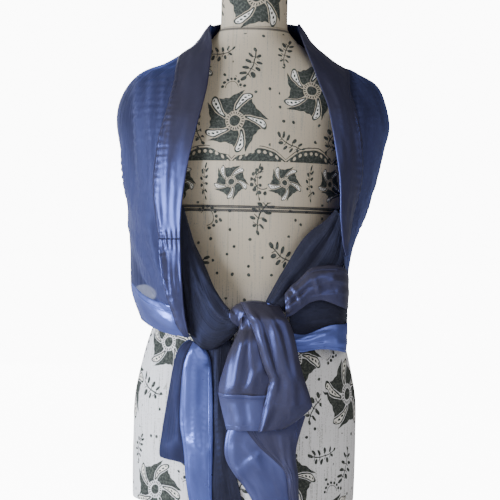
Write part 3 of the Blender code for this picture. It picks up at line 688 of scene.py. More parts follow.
formBuild = {"power": 2.2, "sides": 176, "rows": 132, "neckSides": 96, "neckRows": 40}


def formRing(angle, row):
    height, half, front, back = row
    across, along = np.sin(angle), -np.cos(angle)
    depth = np.where(along < 0, front, back)
    power = formBuild["power"]
    reach = (np.abs(across) ** power + np.abs(along) ** power) ** (-1.0 / power)
    return np.stack([half * reach * across, depth * reach * along, np.full_like(angle, height)], axis=-1)


def turnedPiece(name, node, sections, sides, rows):
    # rings from the foot up with flat ends, and lace coordinates measured from the front
    angle = np.linspace(-math.pi, math.pi, sides + 1)
    table = smoothRows(sections, np.linspace(0, len(sections) - 1, rows)) * mm
    points = np.stack([formRing(angle, row) for row in table])
    obj = gridPiece(name, points, laceMaterial, closed=True)
    built = bmesh.new()
    built.from_mesh(obj.data)
    layer = built.loops.layers.uv["cloth"]
    around = np.linalg.norm(np.diff(points, axis=1), axis=2)
    frontStep = np.linalg.norm(np.diff(points[:, sides // 2], axis=0), axis=1)
    height = np.concatenate(([0.0], np.cumsum(frontStep))) + table[0][0]
    girth = np.concatenate((np.zeros((rows, 1)), np.cumsum(around, axis=1)), axis=1)
    girth -= girth[:, sides // 2][:, None]
    corners = {}
    for i in range(rows):
        for j in range(sides + 1):
            corners[(round(points[i, j, 0], 6), round(points[i, j, 1], 6), round(points[i, j, 2], 6),
                     j == 0)] = (girth[i, j], height[i])
    for face in built.faces:
        middle = face.calc_center_median()
        seamLeft = middle.y > 0 and middle.x < 0
        for loop in face.loops:
            spot = tuple(round(c, 6) for c in loop.vert.co)
            found = corners.get((*spot, seamLeft)) or corners.get((*spot, not seamLeft))
            loop[layer].uv = found or (spot[0], spot[2])
    for rim in (False, True):
        edges = [e for e in built.edges if e.is_boundary and (e.verts[0].co.z > table[0][0] + mm) == rim]
        filled = bmesh.ops.edgeloop_fill(built, edges=edges)["faces"]
        inset = bmesh.ops.inset_region(built, faces=filled, thickness=0.004, use_even_offset=True)
        for face in filled + inset["faces"]:
            face.smooth = False
            for loop in face.loops:
                loop[layer].uv = (loop.vert.co.x, loop.vert.co.y)
    bmesh.ops.recalc_face_normals(built, faces=built.faces)
    built.to_mesh(obj.data)
    built.free()
    turnFaces(obj, awayFromAxis)
    return finishPiece(obj, node)


formTree = treeOf(turnedPiece("formTorso", "form_torso", formSections, formBuild["sides"], formBuild["rows"]))
turnedPiece("formNeck", "form_neck", neckSections, formBuild["neckSides"], formBuild["neckRows"])

# two double cords round the ribs
cordBuild = {"heights": (0.4598, 0.4620, 0.4655, 0.4677), "radius": 0.0009, "off": 0.0008, "sides": 8,
             "around": 176}


def cordRings(build):
    angle = np.linspace(-math.pi, math.pi, build["around"] + 1)
    turn = np.linspace(0, 2 * math.pi, build["sides"] + 1)
    levels = [row[0] * mm for row in formSections]
    for number, height in enumerate(build["heights"]):
        place = np.interp(height, levels, range(len(levels)))
        half, front, back = smoothRows(formSections, place)[1:] * mm + build["off"]
        ring = formRing(angle, (height, half, front, back))
        outward = ring * (1, 1, 0)
        outward /= np.linalg.norm(outward, axis=1)[:, None]
        points = (ring[:, None] + outward[:, None] * (np.cos(turn) * build["radius"])[None, :, None]
                  + np.array((0, 0, 1.0)) * (np.sin(turn) * build["radius"])[None, :, None])
        cord = gridPiece(f"formCord{number + 1}", points, cordBlack, closed=True)
        built = bmesh.new()
        built.from_mesh(cord.data)
        bmesh.ops.recalc_face_normals(built, faces=built.faces)
        built.to_mesh(cord.data)
        built.free()
        finishPiece(cord, "form_trim")


cordRings(cordBuild)
print("form ready")


# The stole over the shoulders, a row per ring from the neck fold to the hem:
# left front edge x, y, z; left side x, z; back y, z; right side x, z;
# right front edge x, y, z.
capeRings = (
    (-69, -20, 757, -69.5, 763, 78, 785, 71.5, 767, 71, -20, 756),
    (-67, -55, 722, -88, 734, 89, 752, 92, 735, 80, -48, 728),
    (-68, -72, 704, -119, 712.5, 98, 726, 120, 712.5, 87, -64, 710),
    (-69, -85, 685, -143.4, 697.5, 105, 699, 147, 696.5, 95.5, -80, 688),
    (-70.5, -95, 666, -175.5, 685.2, 110, 670, 178, 684.8, 102, -91, 669),
    (-72.5, -104, 648, -198, 666, 114, 642, 203, 668, 109, -102, 650),
    (-77.5, -115, 622.5, -214, 634, 117, 612, 217, 636, 117.5, -115, 627),
    (-84, -125, 595, -217, 598, 119, 578, 222.5, 598, 123, -124, 600),
    (-93, -134, 553, -207, 553, 120, 533, 209, 553, 131, -133, 555),
    (-101, -137, 503, -199, 503, 120, 488, 190.5, 501, 137.5, -137, 504),
    (-105.5, -137, 445, -194.5, 447, 120, 448, 175, 447, 140.5, -136, 445),
    (-104, -135, 385, -191.5, 395, 120, 418, 164, 398, 148, -118, 381),
    (-99, -133, 330, -190, 358, 120, 400, 159.5, 358, 157, -48, 345),
    (-93, -130, 283, -187, 329, 120, 389, 158, 325, 156.5, -41, 296),
    (-87, -126, 264, -171, 286, 119, 334, 159, 283, 156, -41, 241),
)
# main folds: side of the view (-1 front, 1 back), x and z three times, width, height
capeFolds = (
    (-1, -216, 600, -195, 480, -105, 300, 10, 6), (-1, -186, 660, -176, 470, -108, 320, 7, 3.5),
    (-1, -164, 690, -156, 500, -115, 380, 6, 3), (-1, -188, 440, -160, 380, -108, 310, 7, 3),
    (-1, 198, 640, 190, 520, 150, 410, 9, 4), (1, -150, 670, -125, 520, -135, 390, 12, 4.5),
    (1, -60, 680, -70, 560, -50, 390, 11, 4), (1, 25, 680, 15, 560, 35, 390, 12, 4.5),
    (1, 95, 670, 85, 540, 105, 390, 10, 4), (1, 165, 660, 145, 520, 140, 390, 11, 4.5),
)
# finer folds, seen close up
capeCreases = (
    (-1, -180, 500, -140, 397, -98, 282, 8, 5.5), (-1, -166, 560, -150, 427, -122, 340, 6.9, 4.9),
    (-1, -182, 680, -176, 550, -154, 396, 8, 4.9), (-1, -160, 690, -160, 565, -142, 427, 6.9, 4.6),
    (-1, -138, 694, -144, 560, -132, 428, 6.3, 4.1), (-1, -120, 690, -129, 590, -127, 474, 5.7, 3.2),
    (-1, -212, 560, -188, 450, -120, 310, 9.2, 5.2), (-1, -205, 470, -176, 400, -118, 320, 6.9, 4.1),
    (-1, -190, 420, -156, 352, -109, 293, 6.9, 4.3), (-1, -180, 335, -142, 305, -106, 282, 6.9, 4.9),
    (-1, -172, 372, -140, 332, -108, 300, 5.7, 4.1), (-1, -150, 300, -128, 286, -104, 276, 5.7, 4.1),
    (-1, 184, 650, 187, 527, 170, 404, 8, 4.9), (-1, 161, 680, 172, 558, 160, 389, 6.9, 4.3),
    (-1, 203, 605, 196, 512, 174, 420, 8, 5.2), (-1, 141, 711, 165, 673, 189, 620, 6.9, 3.5),
    (1, -185, 640, -165, 520, -165, 400, 9.2, 5.2), (1, -110, 690, -95, 560, -100, 395, 9.2, 4.9),
    (1, -30, 700, -30, 560, -10, 395, 9.2, 4.3), (1, 60, 690, 50, 560, 70, 395, 9.2, 4.9),
    (1, 130, 690, 115, 560, 125, 395, 9.2, 4.9), (1, 190, 620, 175, 500, 160, 390, 9.2, 4.9),
)
capeBuild = {
    "borderRing": 12.35, "hemRing": 14.0, "backPower": 2.4, "rest": 0.0007, "out": 0.0010,
    "rings": 112, "borderRings": 24, "sides": 260, "thickness": 0.0004,
    "ripple": 0.0011, "fineRipple": 0.0004, "paintedLightRidge": 0.0050, "lean": 1.6, "sideFade": 0.03,
    "overlap": 0.02, "spread": (6, 90),
}


def capeBase(side, ring):
    row = smoothRows(capeRings, ring) * mm
    lx, ly, lz, lsx, lsz, by, bz, rsx, rsz, rx, ry, rz = np.moveaxis(row, -1, 0)
    left = side < 0
    edgeX, edgeY, edgeZ = (np.where(left, a, b) for a, b in ((lx, rx), (ly, ry), (lz, rz)))
    half, sideZ = np.where(left, lsx, rsx), np.where(left, lsz, rsz)
    part = np.clip((np.abs(side) - 0.5) / 0.5, 0, 1)
    limit = np.arccos(np.minimum(0.9985, np.abs(edgeX / half)))
    turn = part * limit
    blend = 0.5 - 0.5 * np.cos(math.pi * part)
    front = np.stack([half * np.cos(turn), edgeY * np.sin(turn) / np.sin(limit),
                      sideZ + (edgeZ - sideZ) * blend], axis=-1)
    turn = np.clip(0.5 - np.abs(side), 0, 0.5) * math.pi
    power = capeBuild["backPower"]
    cosine, sine = np.abs(np.cos(turn)), np.abs(np.sin(turn))
    reach = (cosine ** power + sine ** power) ** (-1.0 / power)
    blend = 0.5 - 0.5 * np.cos(2 * turn)
    back = np.stack([half * reach * cosine, by * reach * sine, sideZ + (bz - sideZ) * blend], axis=-1)
    return np.where((np.abs(side) >= 0.5)[..., None], front, back)


def capeNormal(side, ring):
    along = capeBase(np.minimum(side + 0.01, 1.0), ring) - capeBase(np.maximum(side - 0.01, -1.0), ring)
    down = (capeBase(side, np.minimum(ring + 0.1, capeBuild["hemRing"]))
            - capeBase(side, np.maximum(ring - 0.1, 0.0)))
    normal = np.cross(along, down)
    return normal / np.linalg.norm(normal, axis=-1)[..., None]


def capePoint(side, ring, out):
    base, normal = capeBase(side, ring), capeNormal(side, ring)
    lift = np.zeros_like(side)
    for view in (-1, 1):
        bends = [fold[1:] for fold in capeFolds + capeCreases if fold[0] == view]
        seen = (base[..., 1] < 0) == (view < 0)
        lift += np.where(seen, creaseLift(base[..., 0], base[..., 2], bends, capeBuild["lean"]), 0.0)
    lift *= np.minimum(1.0, np.abs(base[..., 1]) / capeBuild["sideFade"])
    lift += capeBuild["ripple"] * ripple(side, ring, 11.0, 0.22, 3.0)
    lift += capeBuild["fineRipple"] * ripple(side, ring, 34.0, 0.50, 9.0)
    # the second value, the crease height as 0 to 1, sets the painted shade and painted light
    return base + normal * (lift + out)[..., None], np.clip(lift / capeBuild["paintedLightRidge"] + 0.10, 0, 1)


def clearOf(points, normal, tree, gap):
    # where points are nearer to the tree than the gap, the cloth round them moves out
    push = np.zeros(points.shape[:2])
    for index in np.ndindex(push.shape):
        spot, away, _, _ = tree.find_nearest(Vector(points[index]))
        short = gap - (Vector(points[index]) - spot).dot(away)
        push[index] = max(0.0, short) / max(0.4, Vector(normal[index]).dot(away))
    return points + normal * spreadPush(push, *capeBuild["spread"])[..., None]


def capePiece(name, node, slotName, firstRing, lastRing, rings, material, hems):
    side, ring = np.meshgrid(np.linspace(-1, 1, capeBuild["sides"]), np.linspace(firstRing, lastRing, rings))
    points, folds = capePoint(side, ring, capeBuild["out"])
    points = clearOf(points, capeNormal(side, ring), formTree, capeBuild["rest"] + capeBuild["out"])
    return clothPiece(name, node, slotName, points, material, awayFromAxis, capeBuild["thickness"],
                      hemEdges=hems, folds=folds)


cape = capePiece("stoleShoulders", "cape_chiffon", "chiffon", 0.0,
                 capeBuild["borderRing"] + capeBuild["overlap"], capeBuild["rings"], chiffonWide, ("top",))
capeBorder = capePiece("stoleLowerBorder", "cape_border", "satin", capeBuild["borderRing"],
                       capeBuild["hemRing"], capeBuild["borderRings"], satinPaintedBrightest, ("top", "bottom"))
capeTrees = [treeOf(cape), treeOf(capeBorder)]
print("stole over the shoulders ready")


# The collar, a row per station along the neck fold: inner side, inner ring,
# outer side, outer ring.
collarRows = (
    (-1, 10.5, -0.909, 10.5), (-1, 10, -0.89, 10), (-1, 9, -0.868, 9), (-1, 8, -0.869, 8),
    (-1, 7, -0.883, 7), (-1, 6, -0.885, 6), (-1, 5, -0.875, 5), (-1, 4, -0.85, 4.05),
    (-1, 3, -0.79, 3.2), (-1, 2, -0.71, 2.5), (-1, 1.1, -0.62, 1.9), (-0.98, 0.45, -0.53, 1.55),
    (-0.75, 0, -0.45, 1.4), (-0.5, 0, -0.37, 1.45), (-0.38, 0, -0.29, 1.55), (-0.25, 0, -0.2, 1.65),
    (-0.12, 0, -0.1, 1.72), (0, 0, 0, 1.75), (0.12, 0, 0.1, 1.74), (0.25, 0, 0.2, 1.7),
    (0.38, 0, 0.29, 1.64), (0.5, 0, 0.37, 1.6), (0.75, 0, 0.45, 1.65), (0.98, 0.45, 0.52, 1.85),
    (1, 1.1, 0.58, 2.25), (1, 2, 0.63, 2.75), (1, 3, 0.69, 3.35), (1, 4, 0.795, 4.1), (1, 5, 0.86, 5),
    (1, 6, 0.876, 6), (1, 7, 0.878, 7), (1, 8, 0.854, 8), (1, 9, 0.832, 9), (1, 10, 0.877, 10),
    (1, 10.75, 0.955, 10.75),
)
lowBandRows = (
    (-1, 10.515, -0.905, 10.515), (-1, 11, -0.92, 11), (-1, 12, -0.94, 12), (-1, 13, -0.957, 13),
    (-1, 13.9, -0.975, 13.9),
)
# pulls and streaks in the lapels: x and z three times, width, height
lapelCreases = (
    (-118, 551, -118, 482, -118, 416, 3, 0.7), (-127, 535, -129, 474, -129, 418, 2.8, 0.5),
    (-109, 551, -107, 474, -109, 412, 2.8, 0.5), (-116, 597, -114, 640, -96, 700, 6, 0.6),
    (-96, 640, -104, 560, -106, 500, 5, 0.6), (-102, 379, -95, 321, -87, 267, 3, 0.8),
    (-117, 379, -104, 321, -90, 270, 3, 0.7), (-109, 395, -101, 340, -94, 290, 2.4, 0.5),
    (151, 526, 158, 458, 155, 385, 4, 0.8), (136, 603, 145, 511, 141, 388, 3.6, 0.6),
    (118, 695, 143, 603, 154, 480, 5, 0.6),
)
bandBuild = {
    "gap": 0.0011, "overForm": 0.0027, "soft": 0.0022, "start": 0.0010, "out": 0.0006, "thickness": 0.0005,
    "across": 20, "flat": 0.066, "seek": 0.015, "roll": 0.0016, "rollSteps": 5, "rollTurn": 0.62,
    "ripple": 0.0009, "pucker": 0.0014, "puckerReach": 0.012, "puckers": 4.5, "lean": 1.5, "spread": (3, 14),
}


def bandPiece(name, node, rows, stations):
    # turned over the cape's edge, and puckered at its first and last station
    build = bandBuild
    place = np.linspace(0, len(rows) - 1, stations)
    table = smoothRows(rows, place)
    part = np.linspace(0, 1, build["across"])
    side = np.clip(table[:, None, 0] + (table[:, None, 2] - table[:, None, 0]) * part, -1, 1)
    ring = np.maximum(table[:, None, 1] + (table[:, None, 3] - table[:, None, 1]) * part, 0)
    soft = build["soft"] * np.sin(math.pi * part)[None, :] * np.ones_like(side)
    normal = capeNormal(side, ring)
    points, _ = capePoint(side, ring, capeBuild["out"] + build["start"] + soft)
    push = np.zeros_like(side)
    for index in np.ndindex(side.shape):
        point, outward = Vector(points[index]), Vector(normal[index])
        for tree in capeTrees:
            spot = tree.ray_cast(point + outward * build["seek"], -outward, 2 * build["seek"])[0]
            if spot is not None:
                push[index] = max(push[index], build["gap"] + soft[index] - (point - spot).dot(outward))
        spot, away, _, _ = formTree.find_nearest(point)
        push[index] = max(push[index], build["overForm"] - (point - spot).dot(away))
    push = spreadPush(push, *build["spread"])
    front = points[..., 1] < 0
    crease = np.where(front, creaseLift(points[..., 0], points[..., 2], lapelCreases, build["lean"]), 0)
    along = np.concatenate(([0.0], np.cumsum(np.linalg.norm(np.diff(points[:, 10], axis=0), axis=1))))
    for away in (along, along[-1] - along):
        gathers = np.cos(2 * math.pi * build["puckers"] * part + 1.2)[None, :]
        crease += build["pucker"] * gathers * np.exp(-(away / build["puckerReach"]) ** 2)[:, None]
    crease += build["ripple"] * ripple(*np.broadcast_arrays(part[None, :], along[:, None]), 5.0, 16.0, 21.0)
    crease += build["out"]
    points = points + normal * (push + np.maximum(crease, 0))[..., None]
    # the neck fold rolls over the edge of the chiffon
    across = points[:, 1] - points[:, 0]
    across /= np.linalg.norm(across, axis=1)[:, None]
    rolled = []
    for step in range(build["rollSteps"], 0, -1):
        turn = build["rollTurn"] * math.pi * step / build["rollSteps"]
        rolled.append(points[:, 0] - normal[:, 0] * build["roll"] * (1 - math.cos(turn))
                      - across * build["roll"] * math.sin(turn))
    points = np.concatenate((np.stack(rolled, axis=1), points), axis=1)
    return clothPiece(name, node, "satin", points, satinBand, awayFromAxis, build["thickness"],
                      flat=build["flat"], hemEdges=("right",))


collar = bandPiece("stoleCollar", "collar_band", collarRows, 420)
lowBand = bandPiece("stoleLeftLowBand", "band_left_low", lowBandRows, 60)
bandTrees = [treeOf(collar), treeOf(lowBand)]
print("collar ready")


# Hanging and swept stretches, a row per station: first edge x, y, z, second edge
# x, y, z. Then cloth bulge and folds across (place, width, height, from, to).
stretches = {
    "tail_left_chiffon": ((
        (-67.2, -112, 251.3, -22.5, -114, 260.3), (-65, -115, 228.6, -24.9, -116, 232.7),
        (-62.3, -114, 190.7, -27, -116, 193), (-61.2, -113, 144.8, -24.4, -116, 150.3),
        (-60.3, -113, 106.4, -21.9, -116, 107.3), (-59.4, -113, 68, -14.7, -116, 64.5),
        (-58.6, -113, 37.3, -6.4, -116, 37), (-57.8, -113, 6, 0.6, -116, 6),
    ), 2, ((0.55, 0.14, 2, 0, 7),)),
    "drape_left": ((
        (-113, -112, 455.8, -103.7, -104, 465.9), (-109, -122, 420.3, -96.8, -108, 441.1),
        (-107, -122, 378.8, -85.8, -111, 408.8), (-103, -121, 335.7, -75.1, -114, 388.9),
        (-97, -120, 295.7, -63.6, -118, 364.5), (-86, -118, 265.1, -52.1, -123, 340.1),
        (-66.8, -124, 245.8, -40.8, -128, 322.1), (-45.2, -127, 248.8, -31.2, -131, 310.1),
        (-25.6, -129, 264, -23.3, -133, 302.7), (-13.6, -131, 278.2, -15.5, -134, 296.8),
    ), 4, ((0.8, 0.09, 5, 0.5, 9), (0.5, 0.1, 3, 2, 9))),
    "drape_right": ((
        (134, -104, 465.4, 142, -108, 459.4), (117.4, -106, 447.8, 143, -110, 425.3),
        (95.9, -108, 431.7, 143, -106, 391.3), (79.2, -111, 412.7, 136, -108, 369.3),
        (65.7, -115, 389.1, 118.8, -119, 354.9), (53.7, -119, 368.8, 94.2, -124, 342.1),
        (43.3, -124, 350.1, 76, -128, 327.9), (34.3, -129, 333.1, 62.3, -131, 317),
        (28.5, -131, 320.7, 50.2, -133, 309.1),
    ), 4, ((0.28, 0.1, 4, 0.5, 8), (0.65, 0.1, 3, 1, 8))),
    "gather_chiffon": ((
        (156.9, -46, 311.2, 156.5, -42.5, 296.8), (155.5, -80, 310.4, 155, -80, 292.5),
        (147.8, -104, 312, 147.5, -104, 289), (133.6, -115, 328.9, 133.2, -115, 279.3),
        (109.9, -123, 334.7, 109.9, -123, 269.9), (89.8, -128, 329.7, 91.4, -128, 263.6),
        (76.1, -131, 320.3, 77.4, -131, 263.5), (63.9, -133, 312.4, 66.6, -133, 266.4),
    ), 0, ((0.5, 0.2, 2, 3, 7),)),
    "gather_band": ((
        (157.6, -54, 342.5, 157.2, -48, 312), (156.4, -85, 359, 156.4, -85, 311.2),
        (150, -112, 374, 150.8, -112, 312.5), (135.1, -123.5, 379.2, 136.5, -123.5, 318.4),
        (113.2, -130, 378, 114.4, -130, 325.8), (94.7, -135, 373, 94.4, -135, 320.9),
        (79.6, -138, 357.4, 80.7, -138, 311.5), (66.1, -140, 344.9, 68.6, -140, 302.1),
        (57.1, -141, 334, 59.5, -141, 298.8),
    ), 3, ((0.3, 0.12, 4, 3, 8), (0.7, 0.1, 3, 4, 8))),
    "gather_border": ((
        (156.7, -41.8, 295.5, 156, -41.8, 241.5), (155.8, -85, 291.8, 154.8, -85, 242.5),
        (149, -112, 288.5, 149, -112, 245.5), (134.2, -121, 288, 135.2, -121, 248.8),
        (115.6, -128, 282.7, 116.3, -128, 250.4), (98.6, -133, 274.8, 99.2, -133, 248.8),
        (83.2, -136, 271.6, 83.8, -136, 245.5), (67.8, -138, 274.4, 70, -138, 246.9),
    ), 2, ((0.35, 0.12, 3, 3, 7),)),
    "tail_left_flap": ((
        (-88.8, -115, 259, -76.4, -116, 254), (-100.8, -118, 249.6, -77.6, -118, 243),
        (-109.6, -117, 232.5, -80.1, -119, 225.6), (-115.7, -108, 196.9, -82.3, -115, 190.2),
        (-123.1, -100, 150.4, -82.9, -111, 148.6), (-128.5, -98, 111.6, -83.5, -111, 108.6),
        (-131.7, -98, 82.1, -82.7, -111, 73.2), (-129.2, -98, 74.5, -82.5, -111, 67),
    ), 2, ((0.45, 0.12, 2, 0, 6),)),
    "tail_left_band": ((
        (-82.4, -120, 256.3, -65.2, -120, 244.4), (-91, -122, 238, -55.5, -119, 229.6),
        (-97.2, -122, 213.5, -51.7, -117, 202.3), (-99.9, -120, 167.6, -49.2, -115, 165.7),
        (-99.7, -119, 129.3, -48.4, -115, 130.5), (-93.5, -119, 91.1, -47.5, -115, 92.2),
        (-89.3, -119, 45.2, -47.9, -115, 46.2), (-82.2, -119, 6, -47, -115, 6),
    ), 3, ((0.3, 0.1, 2, 0, 5),)),
    "tail_right": ((
        (-19.3, -130, 132.9, 84.7, -130, 143), (-27.4, -130, 119.1, 85.1, -129, 123.3),
        (-30.5, -128, 89.9, 80.3, -125, 98.6), (-24.7, -126, 70, 77.7, -122, 80.1),
        (-12.8, -124, 51.9, 79, -119, 57.1), (-1.7, -123, 38.4, 82.5, -118, 38.8),
        (12.6, -123, 17.3, 85.6, -118, 19), (17.4, -123, 6, 87.1, -118, 6),
    ), 3, ((0.35, 0.1, 3, 1, 7),)),
    "tail_right_band": ((
        (-0.8, -136, 128, 93.5, -133, 148.5), (8.7, -135, 114.4, 85, -132, 120.8),
        (24.4, -132, 96.5, 79.4, -129, 99.3), (43.2, -129, 80.1, 78.3, -126, 80.9),
        (65, -126, 59.2, 80.3, -124, 58.1), (70.1, -125, 38, 83.1, -124, 38.3),
        (72.3, -125, 6, 87.6, -124, 6),
    ), 2, ((0.75, 0.08, 3, 0, 5),)),
    "loop": ((
        (-10.8, -138, 296.1, 7.2, -138, 307.2), (-11.9, -145, 277.9, 22.9, -145, 286.3),
        (-19, -153, 259.5, 31.1, -153, 263.7), (-27, -154, 241.1, 37.7, -154, 239.6),
        (-34.7, -154, 215.1, 45.9, -154, 217), (-40.3, -154, 193.6, 49.4, -154, 194.2),
        (-40.7, -153, 179.7, 51.4, -153, 178.1), (-36.4, -153, 158.6, 51.8, -153, 157.7),
        (-31.5, -152, 140.4, 50.7, -152, 140.8), (-27.3, -151, 124.4, 48.1, -151, 126.2),
    ), 4, ((0.3, 0.12, 4, 1, 9), (0.65, 0.12, 3, 0, 9))),
    "loop_fold": ((
        (-11.3, -144, 319.1, 48.1, -144, 314.5), (-1.8, -159, 302.8, 59, -156, 299.6),
        (7.7, -161, 287.9, 66.9, -157, 284.7), (15.8, -161, 265.4, 72.7, -157, 266.6),
        (24, -161, 239.8, 77.8, -157, 243.9), (32.1, -161, 217.2, 84.4, -157, 219.1),
        (37, -161, 202.2, 91.8, -157, 197.1), (31.5, -160, 179.2, 100, -156, 174.4),
        (26, -159, 154.7, 97.4, -155, 157.6), (20.6, -157, 124.1, 61.6, -154, 130.8),
    ), 4, ((0.1, 0.08, 4, 0.5, 7), (0.55, 0.12, 3, 1, 8))),
}

# smaller folds of each stretch: x and z three times, width, height
stretchCreases = {
    "drape_left": (
        (-79, 375, -52, 325, -12, 284, 3, 3), (-87, 349, -60, 306, -20, 284, 3, 2.6),
        (-93, 379, -73, 334, -34, 288, 2.8, 2), (-74, 380, -35, 322, -8, 300, 2.6, 2),
        (-104, 440, -96, 370, -60, 300, 3, 1.6),
    ),
    "drape_right": (
        (112, 430, 75, 380, 40, 325, 3, 2.6), (132, 420, 105, 372, 55, 322, 3.2, 2.2),
        (125, 385, 90, 352, 55, 318, 2.8, 1.8), (95, 425, 60, 370, 34, 328, 2.6, 1.6),
    ),
    "gather_band": (
        (63, 346, 77, 340, 81, 315, 3, 2.6), (98, 359, 105, 353, 108, 330, 3.2, 2.4),
        (59, 337, 67, 322, 62, 304, 2.6, 2.6), (80, 345, 118, 360, 154, 352, 3.6, 2.2),
        (81, 325, 119, 340, 156, 335, 3.2, 1.8), (86, 362, 118, 372, 150, 368, 3, 1.4),
    ),
    "gather_chiffon": (
        (73, 309, 104, 313, 135, 308, 3, 1.4), (70, 290, 104, 290, 145, 295, 3, 1.4),
    ),
    "gather_border": (
        (82, 256, 121, 264, 156, 255, 3.6, 2.4), (70, 262, 100, 272, 135, 278, 3, 1.6),
        (100, 252, 125, 254, 154, 246, 2.8, 1.4),
    ),
    "tail_left_flap": (
        (-127, 90, -111, 97, -95, 110, 6.8, 2.4), (-112, 220, -108, 160, -100, 90, 5.1, 1.5),
    ),
    "tail_left_chiffon": (
        (-45, 240, -44, 150, -30, 20, 5.1, 1.8), (-34, 230, -30, 150, -12, 20, 5.1, 1.3),
    ),
    "tail_left_band": (
        (-87, 252, -74, 232, -63, 214, 7.6, 2.9), (-91, 106, -71, 91, -52, 76, 8.5, 2.6),
        (-77, 244, -82, 167, -73, 45, 6.1, 2.2), (-62, 252, -63, 168, -58, 30, 5.1, 1.5),
        (-93, 230, -94, 190, -95, 136, 5.1, 1.5),
    ),
    "tail_right": (
        (-15, 57, 7, 74, 26, 91, 5.8, 3.7), (6, 116, 37, 86, 69, 56, 4.8, 2),
        (-13, 107, -18, 84, -11, 61, 5.8, 2.2), (0, 100, 12, 82, 30, 60, 4.4, 1.8),
    ),
    "tail_right_band": (
        (55, 124, 62, 79, 74, 20, 5.1, 2.9), (68, 125, 71, 79, 78, 21, 4.4, 2.2),
        (80, 133, 76, 85, 83, 21, 4.4, 2),
    ),
    "loop": (
        (23, 228, 10, 203, -5, 180, 6.8, 2.8), (-6, 277, -9, 231, -20, 176, 7.6, 2.5),
        (5, 277, 14, 231, 7, 170, 6.8, 2.1), (-25, 246, -27, 199, -32, 153, 6.4, 2.1),
        (-22, 170, -14, 150, -10, 128, 7.6, 2.3), (4, 172, 10, 150, 12, 128, 7.2, 2.1),
    ),
    "loop_fold": (
        (0, 305, 18, 255, 37, 200, 9.5, 3.5), (37, 200, 34, 185, 28, 160, 9.5, 3.1),
        (38, 290, 48, 250, 52, 194, 7.2, 2.3), (56, 290, 67, 250, 80, 194, 7.2, 2.1),
        (40, 170, 61, 160, 88, 168, 8.5, 2.5),
    ),
}
stretchBuild = {"gap": 0.0008, "reach": 0.0022, "out": 0.0008, "thickness": 0.0005, "cell": 0.0022,
                "ripple": 0.0005, "wave": 0.0014, "paintedLightRidge": 0.0040, "rest": 0.0006, "lean": 1.7,
                "spread": (5, 12)}


def aheadOf(x, z, trees, reach):
    # the most forward depth of the given pieces near a place of the front view
    depth = 1.0
    for dx, dz in ((0, 0), (1, 0), (-1, 0), (0, 1), (0, -1), (0.7, 0.7), (-0.7, 0.7), (0.7, -0.7),
                   (-0.7, -0.7)):
        for tree in trees:
            spot = tree.ray_cast(Vector((x + dx * reach, -0.5, z + dz * reach)), Vector((0, 1, 0)))[0]
            if spot is not None:
                depth = min(depth, spot.y)
        if reach == 0:
            break
    return depth


